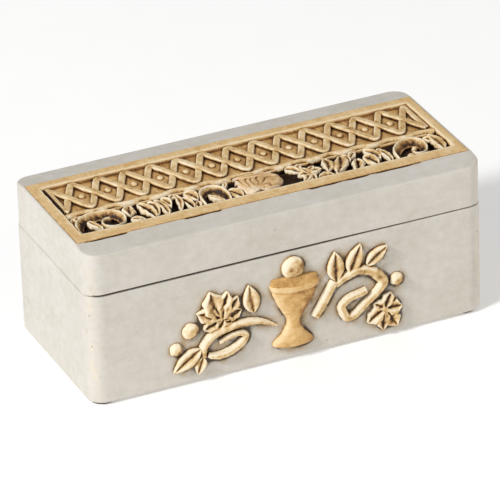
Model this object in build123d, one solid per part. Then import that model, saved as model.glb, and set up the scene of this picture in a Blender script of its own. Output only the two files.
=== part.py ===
from build123d import *
import math
import os

# Keepsake box: a hollow cast base on felt pads, a loose lid that lifts straight off, a carved plaque let
# into the lid and a spray of vine work with a chalice bonded to the front.
# Millimetres. X runs along the box, the front faces -Y, Z is up.
# The origin is on the surface that the box stands on, under the middle of the whole outline.

# Box casting
box_length = 160.0
box_width = 71.0
base_height = 44.3
corner_radius = 6.5
wall = 5.0
floor_thickness = 5.0
cavity_corner_radius = 3.0
cavity_floor_radius = 2.5
bottom_edge_radius = 1.6
rim_edge_radius = 0.6

# Felt pads under the corners
pad_radius = 4.6
pad_thickness = 0.8

# Lid casting
lid_height = 18.1
lid_inset = 0.3
bevel_run = 10.1
bevel_rise = 1.3
lid_edge_radius = 0.5
lip_clearance = 0.6
lip_thickness = 2.5
lip_depth = 3.0
lip_lead = 0.6
lid_roof = 3.5

# Plaque let into the top of the lid
plaque_thickness = 5.6
plaque_proud = 0.3
plaque_clearance = 0.15
plaque_end_margin = 1.0
plaque_edge_radius = 0.3
border_left = 4.2
border_right = 3.4
border_front = 5.8
border_back = 4.4
knot_band_depth = 1.5
vine_band_width = 15.4
vine_band_depth = 4.2
rail_width = 2.4
rail_height = 1.3
rail_wave = 0.45
rail_wave_length = 13.0

# Plaited strands on the plaque
strand_width = 2.8
strand_height = 1.2
strand_gap = 0.3
plait_pitch = 11.0
turn_radius = 2.6
boss_radius = 1.3
boss_top_radius = 0.6
boss_height = 1.0

# Relief thicknesses
bar_shoulder = 0.35
bar_flat = 0.5
leaf_height = 1.9
leaf_groove = 0.8
leaf_groove_spread = 0.2
leaf_slope = 0.16
stem_height = 2.1
berry_height = 2.3
host_radius = 4.6
host_height = 2.2
host_edge = 0.9
chalice_reach = 3.6
chalice_lean = 3.0
lip_rise = 3.0
lip_rim = 0.9
lip_sink = 0.8
scroll_height = 3.4
spray_leaf_height = 3.5
bead_taper = 0.4
dove_height = 4.4

# Length and height of the drawings that the reliefs are laid out on, each fitted to the face it is for
front_drawing = (160.0, 44.3)
vine_drawing = (149.8, 15.4)

# Derived places
rim_z = pad_thickness + base_height
body_y = chalice_reach / 2
front_y = body_y - box_width / 2
lid_length = box_length - 2 * lid_inset
lid_width = box_width - 2 * lid_inset
lid_wall = wall - lid_inset + lip_clearance + lip_thickness
lid_corner_radius = corner_radius - lid_inset
plaque_length = lid_length - 2 * plaque_end_margin
plaque_width = lid_width - 2 * bevel_run
rebate_depth = plaque_thickness - plaque_proud
lid_ceiling = lid_height - rebate_depth - lid_roof
plaque_top = lid_height + plaque_proud
recess_left = -plaque_length / 2 + border_left
recess_right = plaque_length / 2 - border_right
recess_front = -plaque_width / 2 + border_front
recess_back = plaque_width / 2 - border_back
rail_front = recess_front + vine_band_width
rail_y = rail_front + rail_width / 2
knot_floor = plaque_top - knot_band_depth
vine_floor = plaque_top - vine_band_depth

# Frames that the reliefs stand on: x to the right, y up the face, z out of it
on_front = Plane(origin=(0, front_y, pad_thickness), x_dir=(1, 0, 0), z_dir=(0, -1, 0))
on_lid = Plane(origin=(0, body_y, rim_z), x_dir=(1, 0, 0), z_dir=(0, 0, 1))


def fitted(x, y, width, along, up):
    """A point and a width of a drawing that is stretched along and up. A width takes the smaller stretch."""
    return (x * along, y * up, width * min(along, up))


def on_face(x, y, width=0):
    """A point and a width of the front drawing on the front as it is."""
    return fitted(x, y, width, box_length / front_drawing[0], base_height / front_drawing[1])


def in_band(x, y, width=0):
    """A point and a width of the vine drawing in the recess as it is."""
    along = (recess_right - recess_left) / vine_drawing[0]
    return fitted(x, y, width, along, vine_band_width / vine_drawing[1])


def rounded_block(length, width, height, radius):
    return extrude(RectangleRounded(length, width, radius), height)


def level_edges(solid, height):
    """The edges of a solid that lie wholly at one height."""
    return solid.edges().filter_by_position(Axis.Z, height - 0.001, height + 0.001)


# Box castings

def make_box_base():
    shell = rounded_block(box_length, box_width, base_height, corner_radius)
    shell = fillet(level_edges(shell, 0), bottom_edge_radius)
    shell = fillet(level_edges(shell, base_height), rim_edge_radius)
    cavity = rounded_block(box_length - 2 * wall, box_width - 2 * wall, base_height, cavity_corner_radius)
    cavity = fillet(level_edges(cavity, 0), cavity_floor_radius)
    shell -= Pos(0, 0, floor_thickness) * cavity
    return Pos(0, body_y, pad_thickness) * shell


def make_foot_pad(side_x, side_y):
    x = side_x * (box_length / 2 - corner_radius)
    y = body_y + side_y * (box_width / 2 - corner_radius)
    return Pos(x, y, 0) * extrude(Circle(pad_radius), pad_thickness)


def make_lid_shell():
    ridge = lid_height - bevel_rise
    half = lid_width / 2
    side = Polyline(
        (-half, 0), (half, 0), (half, ridge), (half - bevel_run, lid_height),
        (-half + bevel_run, lid_height), (-half, ridge), close=True,
    )
    section = Plane.YZ * make_face(side)
    block = extrude(section, lid_length / 2, both=True)
    block &= rounded_block(lid_length, lid_width, lid_height, lid_corner_radius)
    block = fillet(level_edges(block, 0), lid_edge_radius)
    hollow_length = lid_length - 2 * lid_wall
    hollow_width = lid_width - 2 * lid_wall
    hollow = rounded_block(hollow_length, hollow_width, lid_ceiling, cavity_corner_radius)
    hollow = fillet(level_edges(hollow, lid_ceiling), cavity_floor_radius)
    lip = rounded_block(
        hollow_length + 2 * lip_thickness, hollow_width + 2 * lip_thickness, lip_depth,
        cavity_corner_radius + lip_thickness,
    )
    lip = chamfer(level_edges(lip, 0), lip_lead)
    lip -= rounded_block(hollow_length, hollow_width, lip_depth, cavity_corner_radius)
    rebate = Box(
        plaque_length + 2 * plaque_clearance, plaque_width + 2 * plaque_clearance, rebate_depth,
        align=(Align.CENTER, Align.CENTER, Align.MAX),
    )
    shell = block - hollow - Pos(0, 0, lid_height) * rebate
    shell += Pos(0, 0, -lip_depth) * lip
    return on_lid * shell


def recess(front, back, depth):
    """A pocket in the plaque between two lines, over the plaque's whole inner length."""
    pocket = Box(
        recess_right - recess_left, back - front, depth,
        align=(Align.MIN, Align.MIN, Align.MAX),
    )
    return Pos(recess_left, front, plaque_top) * pocket


def make_lid_plaque():
    plaque = Pos(0, 0, lid_height - rebate_depth) * Box(
        plaque_length, plaque_width, plaque_thickness,
        align=(Align.CENTER, Align.CENTER, Align.MIN),
    )
    plaque = fillet(level_edges(plaque, plaque_top), plaque_edge_radius)
    plaque -= recess(rail_front, recess_back, knot_band_depth)
    plaque -= recess(recess_front, rail_front, vine_band_depth)
    return on_lid * plaque


# Relief shapes, lying on z = 0

def rounded_section(half_width, height):
    """A bar with steep sides and a curved crown."""
    shoulder = height - half_width * bar_shoulder
    outline = [
        Polyline((-half_width, shoulder), (-half_width, 0), (half_width, 0), (half_width, shoulder)),
        ThreePointArc((half_width, shoulder), (0, height), (-half_width, shoulder)),
    ]
    return make_face(outline)


def chamfered_section(half_width, height):
    """A bar with a flat top and its shoulders cut away."""
    shoulder = height - half_width * bar_shoulder
    flat = half_width * bar_flat
    outline = Polyline(
        (-half_width, 0), (half_width, 0), (half_width, shoulder), (flat, height),
        (-flat, height), (-half_width, shoulder), close=True,
    )
    return make_face(outline)


def across_path(place, along):
    """The upright plane across a flat path at one place."""
    return Plane(origin=place, x_dir=Vector(0, 0, 1).cross(along), z_dir=along)


def bar(path, width, height):
    """A chamfered bar that follows a flat path."""
    section = across_path(path @ 0, path % 0) * chamfered_section(width / 2, height)
    return sweep(section, path)


def tapered_bar(stations, height, section, fit):
    """A bar that swells and tapers. A station is a point of its middle line and its half width there."""
    fits = [fit(*station) for station in stations]
    places = [Vector(x, y) for x, y, half_width in fits]
    sections = []
    for index, (x, y, half_width) in enumerate(fits):
        along = places[min(index + 1, len(places) - 1)] - places[max(index - 1, 0)]
        sections.append(across_path(places[index], along) * section(half_width, height))
    return loft(sections)


def lens(length, width):
    """A pointed leaf outline from the origin along +X."""
    upper = ThreePointArc((0, 0), (length / 2, width / 2), (length, 0))
    lower = ThreePointArc((length, 0), (length / 2, -width / 2), (0, 0))
    return make_face([upper, lower])


def leaf(length, width, height):
    """A carved leaf: a pointed blade with sloping sides and a sunk midrib, base at the origin."""
    top = lens(length * (1 - leaf_slope), width * (1 - 2 * leaf_slope))
    top = Pos(length * leaf_slope / 2, 0, height) * top
    blade = loft([lens(length, width), top], ruled=True)
    half = width * leaf_groove_spread
    groove = Plane.YZ * make_face(
        Polyline((0, height - leaf_groove), (half, height), (-half, height), close=True)
    )
    return blade - extrude(groove, length)


def fused(shapes):
    return shapes[0].fuse(*shapes[1:])


def place_leaf(base, tip, width, height, fit):
    left, low, fitted_width = fit(*base, width)
    right, high, _ = fit(*tip)
    length = math.hypot(right - left, high - low)
    turn = math.degrees(math.atan2(high - low, right - left))
    return Pos(left, low) * Rot(0, 0, turn) * leaf(length, fitted_width, height)


def joined_leaves(leaves, height, fit):
    return fused([place_leaf(*each, height, fit) for each in leaves])


def berry(x, y, radius, height):
    """A domed berry: the top of a ball that stands on the face."""
    ball = (radius ** 2 + height ** 2) / (2 * height)
    dome = Pos(0, 0, height - ball) * Sphere(ball)
    dome &= Pos(0, 0, height / 2) * Box(4 * radius, 4 * radius, height)
    return Pos(x, y) * dome


def bead(x, y, radius, height):
    """A round post that narrows to its top."""
    post = Cone(radius, radius - bead_taper, height, align=(Align.CENTER, Align.CENTER, Align.MIN))
    return Pos(x, y) * post


# Front relief, measured on its drawing from the middle of the box and up from the bottom of the casting

chalice_x = 0.2
# Height, half width and reach of the turned cup, flattened against the face
chalice_profile = [
    (6.8, 7.9, 2.6),
    (8.4, 7.9, 3.0),
    (10.4, 5.8, 2.9),
    (12.4, 4.2, 2.7),
    (15.0, 3.1, 2.4),
    (17.4, 3.3, 2.5),
    (20.4, 4.9, 2.8),
    (23.8, 7.1, 3.1),
    (27.2, 8.7, 3.4),
    (29.8, 9.4, 3.5),
]
lip_half_width = 10.0
host_centre = (0.9, 38.0)

# A bar's stations are x, y and half width. A leaf is its base, its tip and its width
left_stem_stations = [
    (-6.2, 15.8, 0.7), (-9.6, 17.7, 1.1), (-13.6, 19.5, 1.4), (-17.7, 20.2, 1.7), (-22.5, 20.3, 1.8),
    (-27.3, 19.6, 1.9), (-31.8, 18.2, 2.1), (-35.0, 15.4, 2.0), (-35.9, 12.0, 1.7), (-35.4, 9.8, 1.2),
]
left_curl_points = [(-33.2, 10.2), (-26.6, 9.4), (-18.2, 14.0), (-20.8, 17.0), (-29.2, 14.8)]
left_curl_width = 3.2
left_curl_radius = 1.8
left_grape_lobes = [
    ((-28.4, 23.4), (-32.6, 36.2), 8.2),
    ((-27.8, 24.4), (-25.6, 34.8), 5.6),
    ((-27.4, 24.0), (-22.4, 31.8), 5.4),
    ((-27.6, 23.6), (-20.8, 26.8), 5.2),
    ((-28.0, 24.4), (-37.6, 28.0), 6.2),
    ((-28.0, 24.0), (-35.2, 21.6), 5.2),
]
left_bud_leaf = ((-15.5, 23.9), (-17.2, 35.4), 6.8)
left_large_leaf = ((-37.2, 14.0), (-48.0, 6.7), 6.2)
left_small_leaf = ((-36.3, 10.4), (-38.6, 3.8), 4.2)
left_outer_berry = (-46.6, 15.7, 2.7)
left_inner_berry = (-40.6, 21.9, 3.3)

right_stem_stations = [(9.2, 15.4, 1.8), (12.0, 19.6, 2.0), (14.8, 24.2, 2.0), (17.4, 28.4, 1.8)]
right_bend_points = [
    (17.8, 26.0), (22.4, 29.8), (30.0, 31.2), (38.2, 23.4), (23.0, 9.8), (19.4, 18.6), (30.6, 21.4),
]
right_bend_width = 3.6
right_bend_radius = 1.9
right_grape_lobes = [
    ((37.7, 11.0), (37.2, 17.8), 4.8),
    ((37.0, 11.3), (42.8, 16.6), 5.0),
    ((36.8, 12.0), (44.4, 10.4), 5.2),
    ((37.1, 12.5), (43.2, 5.2), 4.8),
    ((37.4, 12.6), (39.8, 3.2), 4.6),
    ((37.9, 12.6), (35.2, 3.8), 4.6),
    ((38.3, 12.3), (31.2, 7.2), 5.0),
    ((38.4, 11.6), (30.8, 13.2), 4.8),
]
right_inner_leaf = ((18.0, 28.4), (17.8, 40.4), 7.0)
right_middle_leaf = ((23.6, 30.1), (28.1, 41.2), 6.6)
right_outer_leaf = ((30.5, 31.9), (38.9, 38.0), 5.6)
right_berry = (42.9, 22.7, 2.9)


def height_on_face(height):
    return on_face(0, height)[1]


def half_turned(height, half_width, reach):
    """One level of a turned form that stands half out of the face."""
    bowl = EllipticalCenterArc((0, 0), half_width, reach, start_angle=180, arc_size=180)
    back = Line((half_width, 0), (-half_width, 0))
    return Pos(0, 0, height_on_face(height)) * make_face([bowl, back])


def make_chalice():
    cup = loft([half_turned(*level) for level in chalice_profile])
    lip_foot = chalice_profile[-1][0]
    lip = extrude(half_turned(lip_foot, lip_half_width, chalice_reach), lip_rise)
    bowl = extrude(half_turned(lip_foot, lip_half_width - lip_rim, chalice_reach - lip_rim), lip_rise)
    lip -= Pos(0, 0, lip_rise - lip_sink) * bowl
    room = Box(box_length, chalice_reach, box_length, align=(Align.CENTER, Align.MAX, Align.MIN))
    cup = (cup & room) + lip
    foot_z = height_on_face(chalice_profile[0][0])
    leaning = Pos(0, 0, foot_z) * Rot(0, chalice_lean, 0) * Pos(0, 0, -foot_z) * cup
    return Pos(chalice_x, front_y, pad_thickness) * leaning


def make_host():
    disc = extrude(Circle(host_radius), host_height)
    disc = fillet(level_edges(disc, host_height), host_edge)
    x, y, _ = on_face(*host_centre)
    return on_front * (Pos(x, y) * disc)


def front_berry(x, y, radius):
    return berry(*on_face(x, y, radius), berry_height)


def cornered_bar(points, radius, width):
    """A cut branch of the front that runs straight between rounded corners."""
    corners = [on_face(*point)[:2] for point in points]
    return bar(FilletPolyline(*corners, radius=radius), width, stem_height)


def left_sprig():
    stem = tapered_bar(left_stem_stations, stem_height, rounded_section, on_face)
    curl = cornered_bar(left_curl_points, left_curl_radius, left_curl_width)
    sprig = {
        "left_vine_stem": stem,
        "left_vine_curl": curl,
        "left_grape_leaf": joined_leaves(left_grape_lobes, leaf_height, on_face) - stem,
        "left_bud_leaf": place_leaf(*left_bud_leaf, leaf_height, on_face),
        "left_large_leaf": place_leaf(*left_large_leaf, leaf_height, on_face) - stem,
        "left_small_leaf": place_leaf(*left_small_leaf, leaf_height, on_face) - stem,
        "left_outer_berry": front_berry(*left_outer_berry),
        "left_inner_berry": front_berry(*left_inner_berry),
    }
    return {name: on_front * shape for name, shape in sprig.items()}


def right_sprig():
    stem = tapered_bar(right_stem_stations, stem_height, chamfered_section, on_face)
    bend = cornered_bar(right_bend_points, right_bend_radius, right_bend_width) - stem
    sprig = {
        "right_vine_stem": stem,
        "right_vine_bend": bend,
        "right_grape_leaf": joined_leaves(right_grape_lobes, leaf_height, on_face) - bend,
        "right_inner_leaf": place_leaf(*right_inner_leaf, leaf_height, on_face) - stem - bend,
        "right_middle_leaf": place_leaf(*right_middle_leaf, leaf_height, on_face) - bend,
        "right_outer_leaf": place_leaf(*right_outer_leaf, leaf_height, on_face) - bend,
        "right_berry": front_berry(*right_berry),
    }
    return {name: on_front * shape for name, shape in sprig.items()}


# Knot band and rail, measured from the middle of the lid

strand_reach = strand_width / 2 + strand_gap
plait_left = recess_left + strand_reach
plait_right = recess_right - strand_reach
plait_low = rail_front + rail_width + rail_wave + strand_reach
plait_high = recess_back - strand_reach
plait_steps = 2 * round((plait_right - plait_left) / plait_pitch / 2)
plait_step = (plait_right - plait_left) / plait_steps


def turn_overshoot():
    """How far the corner of a strand's straight runs stands beyond the crest of its rounded turn."""
    centre_rise = plait_high - plait_low - 2 * turn_radius
    reach = math.hypot(plait_step, centre_rise)
    tilt = math.atan2(centre_rise, plait_step) + math.asin(2 * turn_radius / reach)
    return turn_radius / math.cos(tilt) - turn_radius


def strand_points(first_side):
    """The corners of one plaited strand, from one edge of the knot band to the other and back."""
    beyond = turn_overshoot()
    points = []
    for step in range(plait_steps + 1):
        inside = 0 < step < plait_steps
        extra = beyond if inside else 0
        x = plait_left + step * plait_step
        high = (step + first_side) % 2
        points.append((x, plait_high + extra if high else plait_low - extra))
    return points


def make_knot_band():
    """Two strands that cross back and forth and are joined by a bar at each end."""
    first = strand_points(0)
    second = strand_points(1)
    pieces = []
    for points in (first, second):
        path = FilletPolyline(*points, radius=turn_radius)
        pieces.append(bar(path, strand_width, strand_height))
    for end in (0, -1):
        path = Line(first[end], second[end])
        pieces.append(bar(path, strand_width, strand_height))
    room = Box(
        plait_right - plait_left + strand_width, plait_high - plait_low + strand_width, strand_height,
        align=(Align.MIN, Align.MIN, Align.MIN),
    )
    plait = fused(pieces) & (Pos(plait_left - strand_width / 2, plait_low - strand_width / 2) * room)
    return on_lid * (Pos(0, 0, knot_floor) * plait)


def make_knot_bosses():
    """A pellet with eight cut sides in each eye of the plait."""
    middle = (plait_low + plait_high) / 2
    foot = RegularPolygon(boss_radius, 8)
    top = Pos(0, 0, boss_height) * RegularPolygon(boss_top_radius, 8)
    pellet = loft([foot, top], ruled=True)
    bosses = []
    for step in range(1, plait_steps):
        x = plait_left + step * plait_step
        bosses.append(Pos(x, middle) * pellet)
    return on_lid * (Pos(0, 0, knot_floor) * Compound(bosses))


def make_plaque_rail():
    """The wavy vine between the plait and the open vine band."""
    count = 2 * round((recess_right - recess_left) / rail_wave_length)
    step = (recess_right - recess_left) / count
    arcs = []
    for index in range(count):
        x = recess_left + index * step
        side = rail_wave if index % 2 else -rail_wave
        arcs.append(ThreePointArc((x, rail_y), (x + step / 2, rail_y + side), (x + step, rail_y)))
    room = Box(
        recess_right - recess_left, plaque_width, rail_height,
        align=(Align.MIN, Align.CENTER, Align.MIN),
    )
    rail = bar(Wire(arcs), rail_width, rail_height) & (Pos(recess_left, 0) * room)
    return on_lid * (Pos(0, 0, knot_floor) * rail)


# Open vine band. Each group is drawn from the end of the recess or the middle of the lid that it keeps to,
# and from the front border of the plaque.

left_scroll_stations = [
    (2.4, 0.5, 1.3), (2.3, 2.6, 1.3), (2.3, 4.8, 1.4), (3.1, 8.6, 1.5), (5.5, 11.6, 1.6), (9.2, 13.0, 1.6),
    (13.6, 13.0, 1.6), (17.2, 11.8, 1.5), (19.0, 9.2, 1.4), (18.8, 5.9, 1.3), (17.0, 3.8, 1.2),
    (14.4, 3.3, 1.2), (12.3, 4.7, 1.2), (11.8, 7.0, 1.1), (13.2, 8.9, 1.0), (15.4, 9.4, 0.8),
]
left_scroll_leaves = [((9.2, 2.6), (7.2, 9.8), 4.0), ((2.0, 14.6), (0.6, 10.6), 1.8)]
left_spray_leaves = [
    ((22.5, 7.6), (25.0, 14.8), 5.0),
    ((21.4, 5.2), (26.8, 3.0), 4.2),
    ((28.0, 14.6), (30.2, 1.4), 5.6),
    ((31.9, 14.4), (31.6, 2.8), 3.4),
    ((34.7, 14.7), (35.2, 1.2), 3.8),
    ((37.2, 14.6), (38.6, 7.2), 3.0),
    ((43.0, 14.6), (39.9, 1.4), 2.6),
    ((39.6, 12.0), (43.6, 14.4), 2.4),
    ((43.8, 11.8), (45.4, 1.8), 4.0),
    ((46.4, 14.6), (48.8, 7.2), 3.8),
    ((47.2, 1.6), (48.8, 6.6), 2.2),
]
middle_scroll_stations = [
    (-23.5, 0.4, 1.1), (-23.4, 4.6, 1.3), (-23.1, 8.2, 1.4), (-21.8, 11.2, 1.4), (-19.2, 12.8, 1.4),
    (-16.4, 12.3, 1.3), (-14.8, 9.8, 1.2), (-14.3, 7.2, 1.1), (-14.4, 4.8, 1.0), (-14.8, 2.6, 1.0),
]
middle_scroll_leaves = [
    ((-17.8, 1.6), (-20.2, 8.4), 3.2),
    ((-12.2, 9.4), (-9.4, 1.6), 3.4),
    ((-12.2, 11.2), (-11.2, 14.8), 2.0),
]
right_spray_leaves = [
    ((12.6, 14.6), (16.6, 8.8), 3.4),
    ((16.6, 12.2), (19.6, 14.8), 2.8),
    ((19.5, 6.4), (18.6, 12.6), 3.6),
    ((18.9, 6.6), (23.4, 12.2), 3.4),
    ((18.6, 7.0), (25.2, 8.6), 3.2),
    ((20.2, 7.0), (15.0, 8.2), 3.4),
    ((19.9, 7.9), (15.2, 2.0), 3.6),
    ((19.4, 8.0), (19.2, 1.0), 3.2),
    ((21.4, 3.2), (28.0, 2.4), 3.4),
    ((29.2, 14.6), (26.6, 5.6), 5.0),
    ((35.2, 14.4), (28.6, 2.2), 5.8),
    ((36.0, 14.8), (36.8, 8.2), 3.0),
    ((38.0, 10.8), (41.8, 14.6), 3.2),
    ((40.0, 9.8), (36.2, 1.2), 5.2),
    ((42.6, 10.2), (45.4, 1.4), 4.6),
    ((44.6, 14.6), (48.2, 5.8), 4.0),
    ((50.0, 13.6), (50.8, 1.0), 4.0),
]
right_scroll_stations = [
    (-20.5, 0.4, 1.2), (-20.5, 2.4, 1.3), (-20.4, 4.4, 1.4), (-19.8, 7.6, 1.5), (-17.9, 10.4, 1.6),
    (-15.0, 12.6, 1.6), (-11.6, 12.9, 1.6), (-9.2, 11.2, 1.5), (-8.7, 8.2, 1.4), (-9.4, 5.4, 1.3),
    (-11.2, 3.6, 1.1), (-13.2, 4.4, 1.0), (-13.0, 6.6, 0.9),
]
right_scroll_beads = [(-16.1, 3.4, 1.4), (-12.2, 8.6, 1.1)]
right_end_leaves = [((-3.7, 14.7), (-3.2, 0.8), 5.0), ((-6.4, 13.4), (-4.6, 8.6), 2.2)]

# The dove's feathers fan out from one point, each at its angle and as far as it reaches
dove_centre = (-0.6, 4.4)
dove_feathers = [
    (8, 8.8), (23, 11.2), (38, 12.6), (52, 12.8), (67, 11.2), (83, 10.2), (99, 10.3), (113, 11.0),
    (126, 12.4),
]
dove_feather_width = 4.2
dove_feather_root = 0.8
dove_long_feathers = [((1.8, 8.6), (-7.6, 14.6), 3.6), ((0.6, 7.4), (-7.2, 11.4), 3.0)]
dove_neck = [((-7.2, 9.6), (-4.2, 0.8), 4.0), ((-3.4, 6.2), (3.0, 1.6), 4.4)]
dove_head = (-5.0, 3.2, 2.0)


def on_vine_floor(shape, anchor):
    """Stand a group on the floor of the vine band, with its zero at an anchor along the box."""
    return on_lid * (Pos(anchor, recess_front, vine_floor) * shape)


def separate_leaves(leaves):
    return Compound([place_leaf(*each, spray_leaf_height, in_band) for each in leaves])


def spray(leaves):
    return joined_leaves(leaves, spray_leaf_height, in_band)


def scroll(stations):
    return tapered_bar(stations, scroll_height, chamfered_section, in_band)


def make_beads():
    return Compound([bead(*in_band(*each), spray_leaf_height) for each in right_scroll_beads])


def polar_point(centre, angle, reach):
    turn = math.radians(angle)
    return (centre[0] + reach * math.cos(turn), centre[1] + reach * math.sin(turn))


def make_dove():
    """A bird that flies down to the left, its wings and tail spread as one fan of feathers."""
    feathers = dove_long_feathers + dove_neck
    for angle, reach in dove_feathers:
        root = polar_point(dove_centre, angle, -dove_feather_root)
        feathers.append((root, polar_point(dove_centre, angle, reach), dove_feather_width))
    plumage = joined_leaves(feathers, dove_height, in_band)
    return plumage + bead(*in_band(*dove_head), dove_height)


def vine_band():
    return {
        "left_scroll": on_vine_floor(scroll(left_scroll_stations), recess_left),
        "left_scroll_leaves": on_vine_floor(separate_leaves(left_scroll_leaves), recess_left),
        "left_spray": on_vine_floor(spray(left_spray_leaves), recess_left),
        "middle_scroll": on_vine_floor(scroll(middle_scroll_stations), 0),
        "middle_scroll_leaf": on_vine_floor(separate_leaves(middle_scroll_leaves), 0),
        "dove": on_vine_floor(make_dove(), 0),
        "right_spray": on_vine_floor(spray(right_spray_leaves), 0),
        "right_scroll": on_vine_floor(scroll(right_scroll_stations), recess_right),
        "right_scroll_leaf": on_vine_floor(make_beads(), recess_right),
        "right_end_leaves": on_vine_floor(spray(right_end_leaves), recess_right),
    }


def foot_pads():
    pads = {}
    for row, side_y in (("front", -1), ("rear", 1)):
        for end, side_x in (("left", -1), ("right", 1)):
            pads[f"foot_pad_{row}_{end}"] = make_foot_pad(side_x, side_y)
    return pads


def export_parts(parts):
    os.makedirs("parts", exist_ok=True)
    for name, shape in parts.items():
        export_step(shape, f"parts/{name}.step")


parts = {
    "box_base": make_box_base(),
    "chalice": make_chalice(),
    "host": make_host(),
    "lid_shell": make_lid_shell(),
    "lid_plaque": make_lid_plaque(),
    "knot_band": make_knot_band(),
    "knot_bosses": make_knot_bosses(),
    "plaque_rail": make_plaque_rail(),
    **foot_pads(),
    **left_sprig(),
    **right_sprig(),
    **vine_band(),
}
export_parts(parts)
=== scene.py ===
import math

import bmesh
import bpy
import numpy as np
from mathutils import Matrix, Vector, noise


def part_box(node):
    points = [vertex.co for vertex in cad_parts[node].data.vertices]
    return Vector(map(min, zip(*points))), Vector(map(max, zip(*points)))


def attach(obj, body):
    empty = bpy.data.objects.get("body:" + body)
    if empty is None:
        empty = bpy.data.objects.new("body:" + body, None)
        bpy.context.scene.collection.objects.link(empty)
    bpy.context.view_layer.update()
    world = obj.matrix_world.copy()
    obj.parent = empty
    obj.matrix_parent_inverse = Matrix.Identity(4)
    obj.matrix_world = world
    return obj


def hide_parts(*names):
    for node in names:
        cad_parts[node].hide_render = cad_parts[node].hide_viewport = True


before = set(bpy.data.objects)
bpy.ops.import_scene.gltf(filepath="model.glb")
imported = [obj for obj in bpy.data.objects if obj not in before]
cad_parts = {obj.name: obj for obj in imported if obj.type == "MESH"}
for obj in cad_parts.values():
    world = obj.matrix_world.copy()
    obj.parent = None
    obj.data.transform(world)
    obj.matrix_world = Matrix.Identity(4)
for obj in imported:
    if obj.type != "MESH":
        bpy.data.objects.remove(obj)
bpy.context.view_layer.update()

# A cast keepsake box with hand-carved relief. The pieces are sculpted in millimetres and placed in metres.
MM = 0.001


def box_mm(node):
    low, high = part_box(node)
    return Vector(low) / MM, Vector(high) / MM


base_low, base_high = box_mm("box_base")
lid_low, lid_high = box_mm("lid_shell")
plaque_low, plaque_high = box_mm("lid_plaque")
middle_y = (base_low.y + base_high.y) / 2
rim_z = base_high.z
knot_depth = plaque_high.z - box_mm("knot_band")[0].z
vine_depth = plaque_high.z - box_mm("dove")[0].z

# Frames of the carved faces: x right, y up the face, z out of it
BOX = Matrix.Translation((0, middle_y, base_low.z))
FRONT = Matrix.Translation((0, base_low.y, base_low.z)) @ Matrix.Rotation(math.pi / 2, 4, "X")
LID_TOP = Matrix.Translation((0, middle_y, plaque_high.z))


# Shared sculpting

WELD = 0.001


def draped_grid(rows, columns, place):
    """A grid whose points place() lays over a surface, then welded, capped at its open ends and turned outwards."""
    bm = bmesh.new()
    bmesh.ops.create_grid(bm, x_segments=rows - 1, y_segments=columns - 1, size=0.5)
    for vert in bm.verts:
        row = round((vert.co.x + 0.5) * (rows - 1))
        column = round((vert.co.y + 0.5) * (columns - 1))
        vert.co = place(row, column)
    bmesh.ops.remove_doubles(bm, verts=bm.verts, dist=WELD)
    bmesh.ops.holes_fill(bm, edges=[e for e in bm.edges if e.is_boundary], sides=0)
    bmesh.ops.recalc_face_normals(bm, faces=bm.faces)
    return bm


def as_mesh(name, bm):
    mesh = bpy.data.meshes.new(name)
    bm.to_mesh(mesh)
    bm.free()
    return mesh


def add_object(name, data):
    thing = bpy.data.objects.new(name, data)
    bpy.context.scene.collection.objects.link(thing)
    return thing


def joined(shapes):
    """Several closed shapes as one mesh."""
    whole = bmesh.new()
    for shape in shapes:
        part = as_mesh("part", shape)
        whole.from_mesh(part)
        bpy.data.meshes.remove(part)
    return whole


def fused(shapes, grain):
    """Several closed shapes melted into one skin, as a casting is."""
    mesh = as_mesh("clay", joined(shapes))
    lump = add_object("clay", mesh)
    remesh = lump.modifiers.new("skin", "REMESH")
    remesh.mode = "VOXEL"
    remesh.voxel_size = grain
    skin = bpy.data.meshes.new_from_object(lump.evaluated_get(bpy.context.evaluated_depsgraph_get()))
    bpy.data.objects.remove(lump)
    bpy.data.meshes.remove(mesh)
    bm = bmesh.new()
    bm.from_mesh(skin)
    bpy.data.meshes.remove(skin)
    bmesh.ops.smooth_vert(bm, verts=bm.verts, factor=0.5, use_axis_x=True, use_axis_y=True, use_axis_z=True)
    return bm


def share_of(value):
    """A value kept between 0 and 1."""
    return min(1, max(0, value))


def uneven(*place):
    """A value about 0 that drifts from place to place."""
    return noise.noise(Vector(place))


RIPPLE = 0.6
SCOOP = 1.1
SCOOP_SIZE = 1.5
MIDDLE_SCOOP = 0.6


def hand_cut(bm, depth, size, seed):
    """Uneven knife work: every point moves a little along its normal, in shallow scoops with crisp ridges."""
    bm.normal_update()
    shift = Vector((seed * 7.3, seed * 3.1, seed * 5.7))
    for vert in bm.verts:
        scoop = min(1, noise.voronoi(vert.co / (SCOOP_SIZE * size) + shift)[0][0]) ** 2
        ripple = noise.noise(vert.co / size + shift)
        vert.co += vert.normal * depth * (RIPPLE * ripple + SCOOP * (scoop - MIDDLE_SCOOP))
    return bm


def smooth_route(points, spacing):
    """Stations along a smooth line through the points. What a point carries beside its place goes along."""
    points = np.array(points, float)
    padded = np.vstack([2 * points[0] - points[1], points, 2 * points[-1] - points[-2]])
    stations = []
    for a, b, c, d in zip(padded, padded[1:], padded[2:], padded[3:]):
        count = max(2, int(np.linalg.norm((c - b)[:2]) / spacing))
        for t in np.arange(count) / count:
            bend = (c - a) * t + (2 * a - 5 * b + 4 * c - d) * t ** 2 + (3 * b - a - 3 * c + d) * t ** 3
            stations.append(b + bend / 2)
    stations.append(points[-1])
    return np.array(stations)


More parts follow.
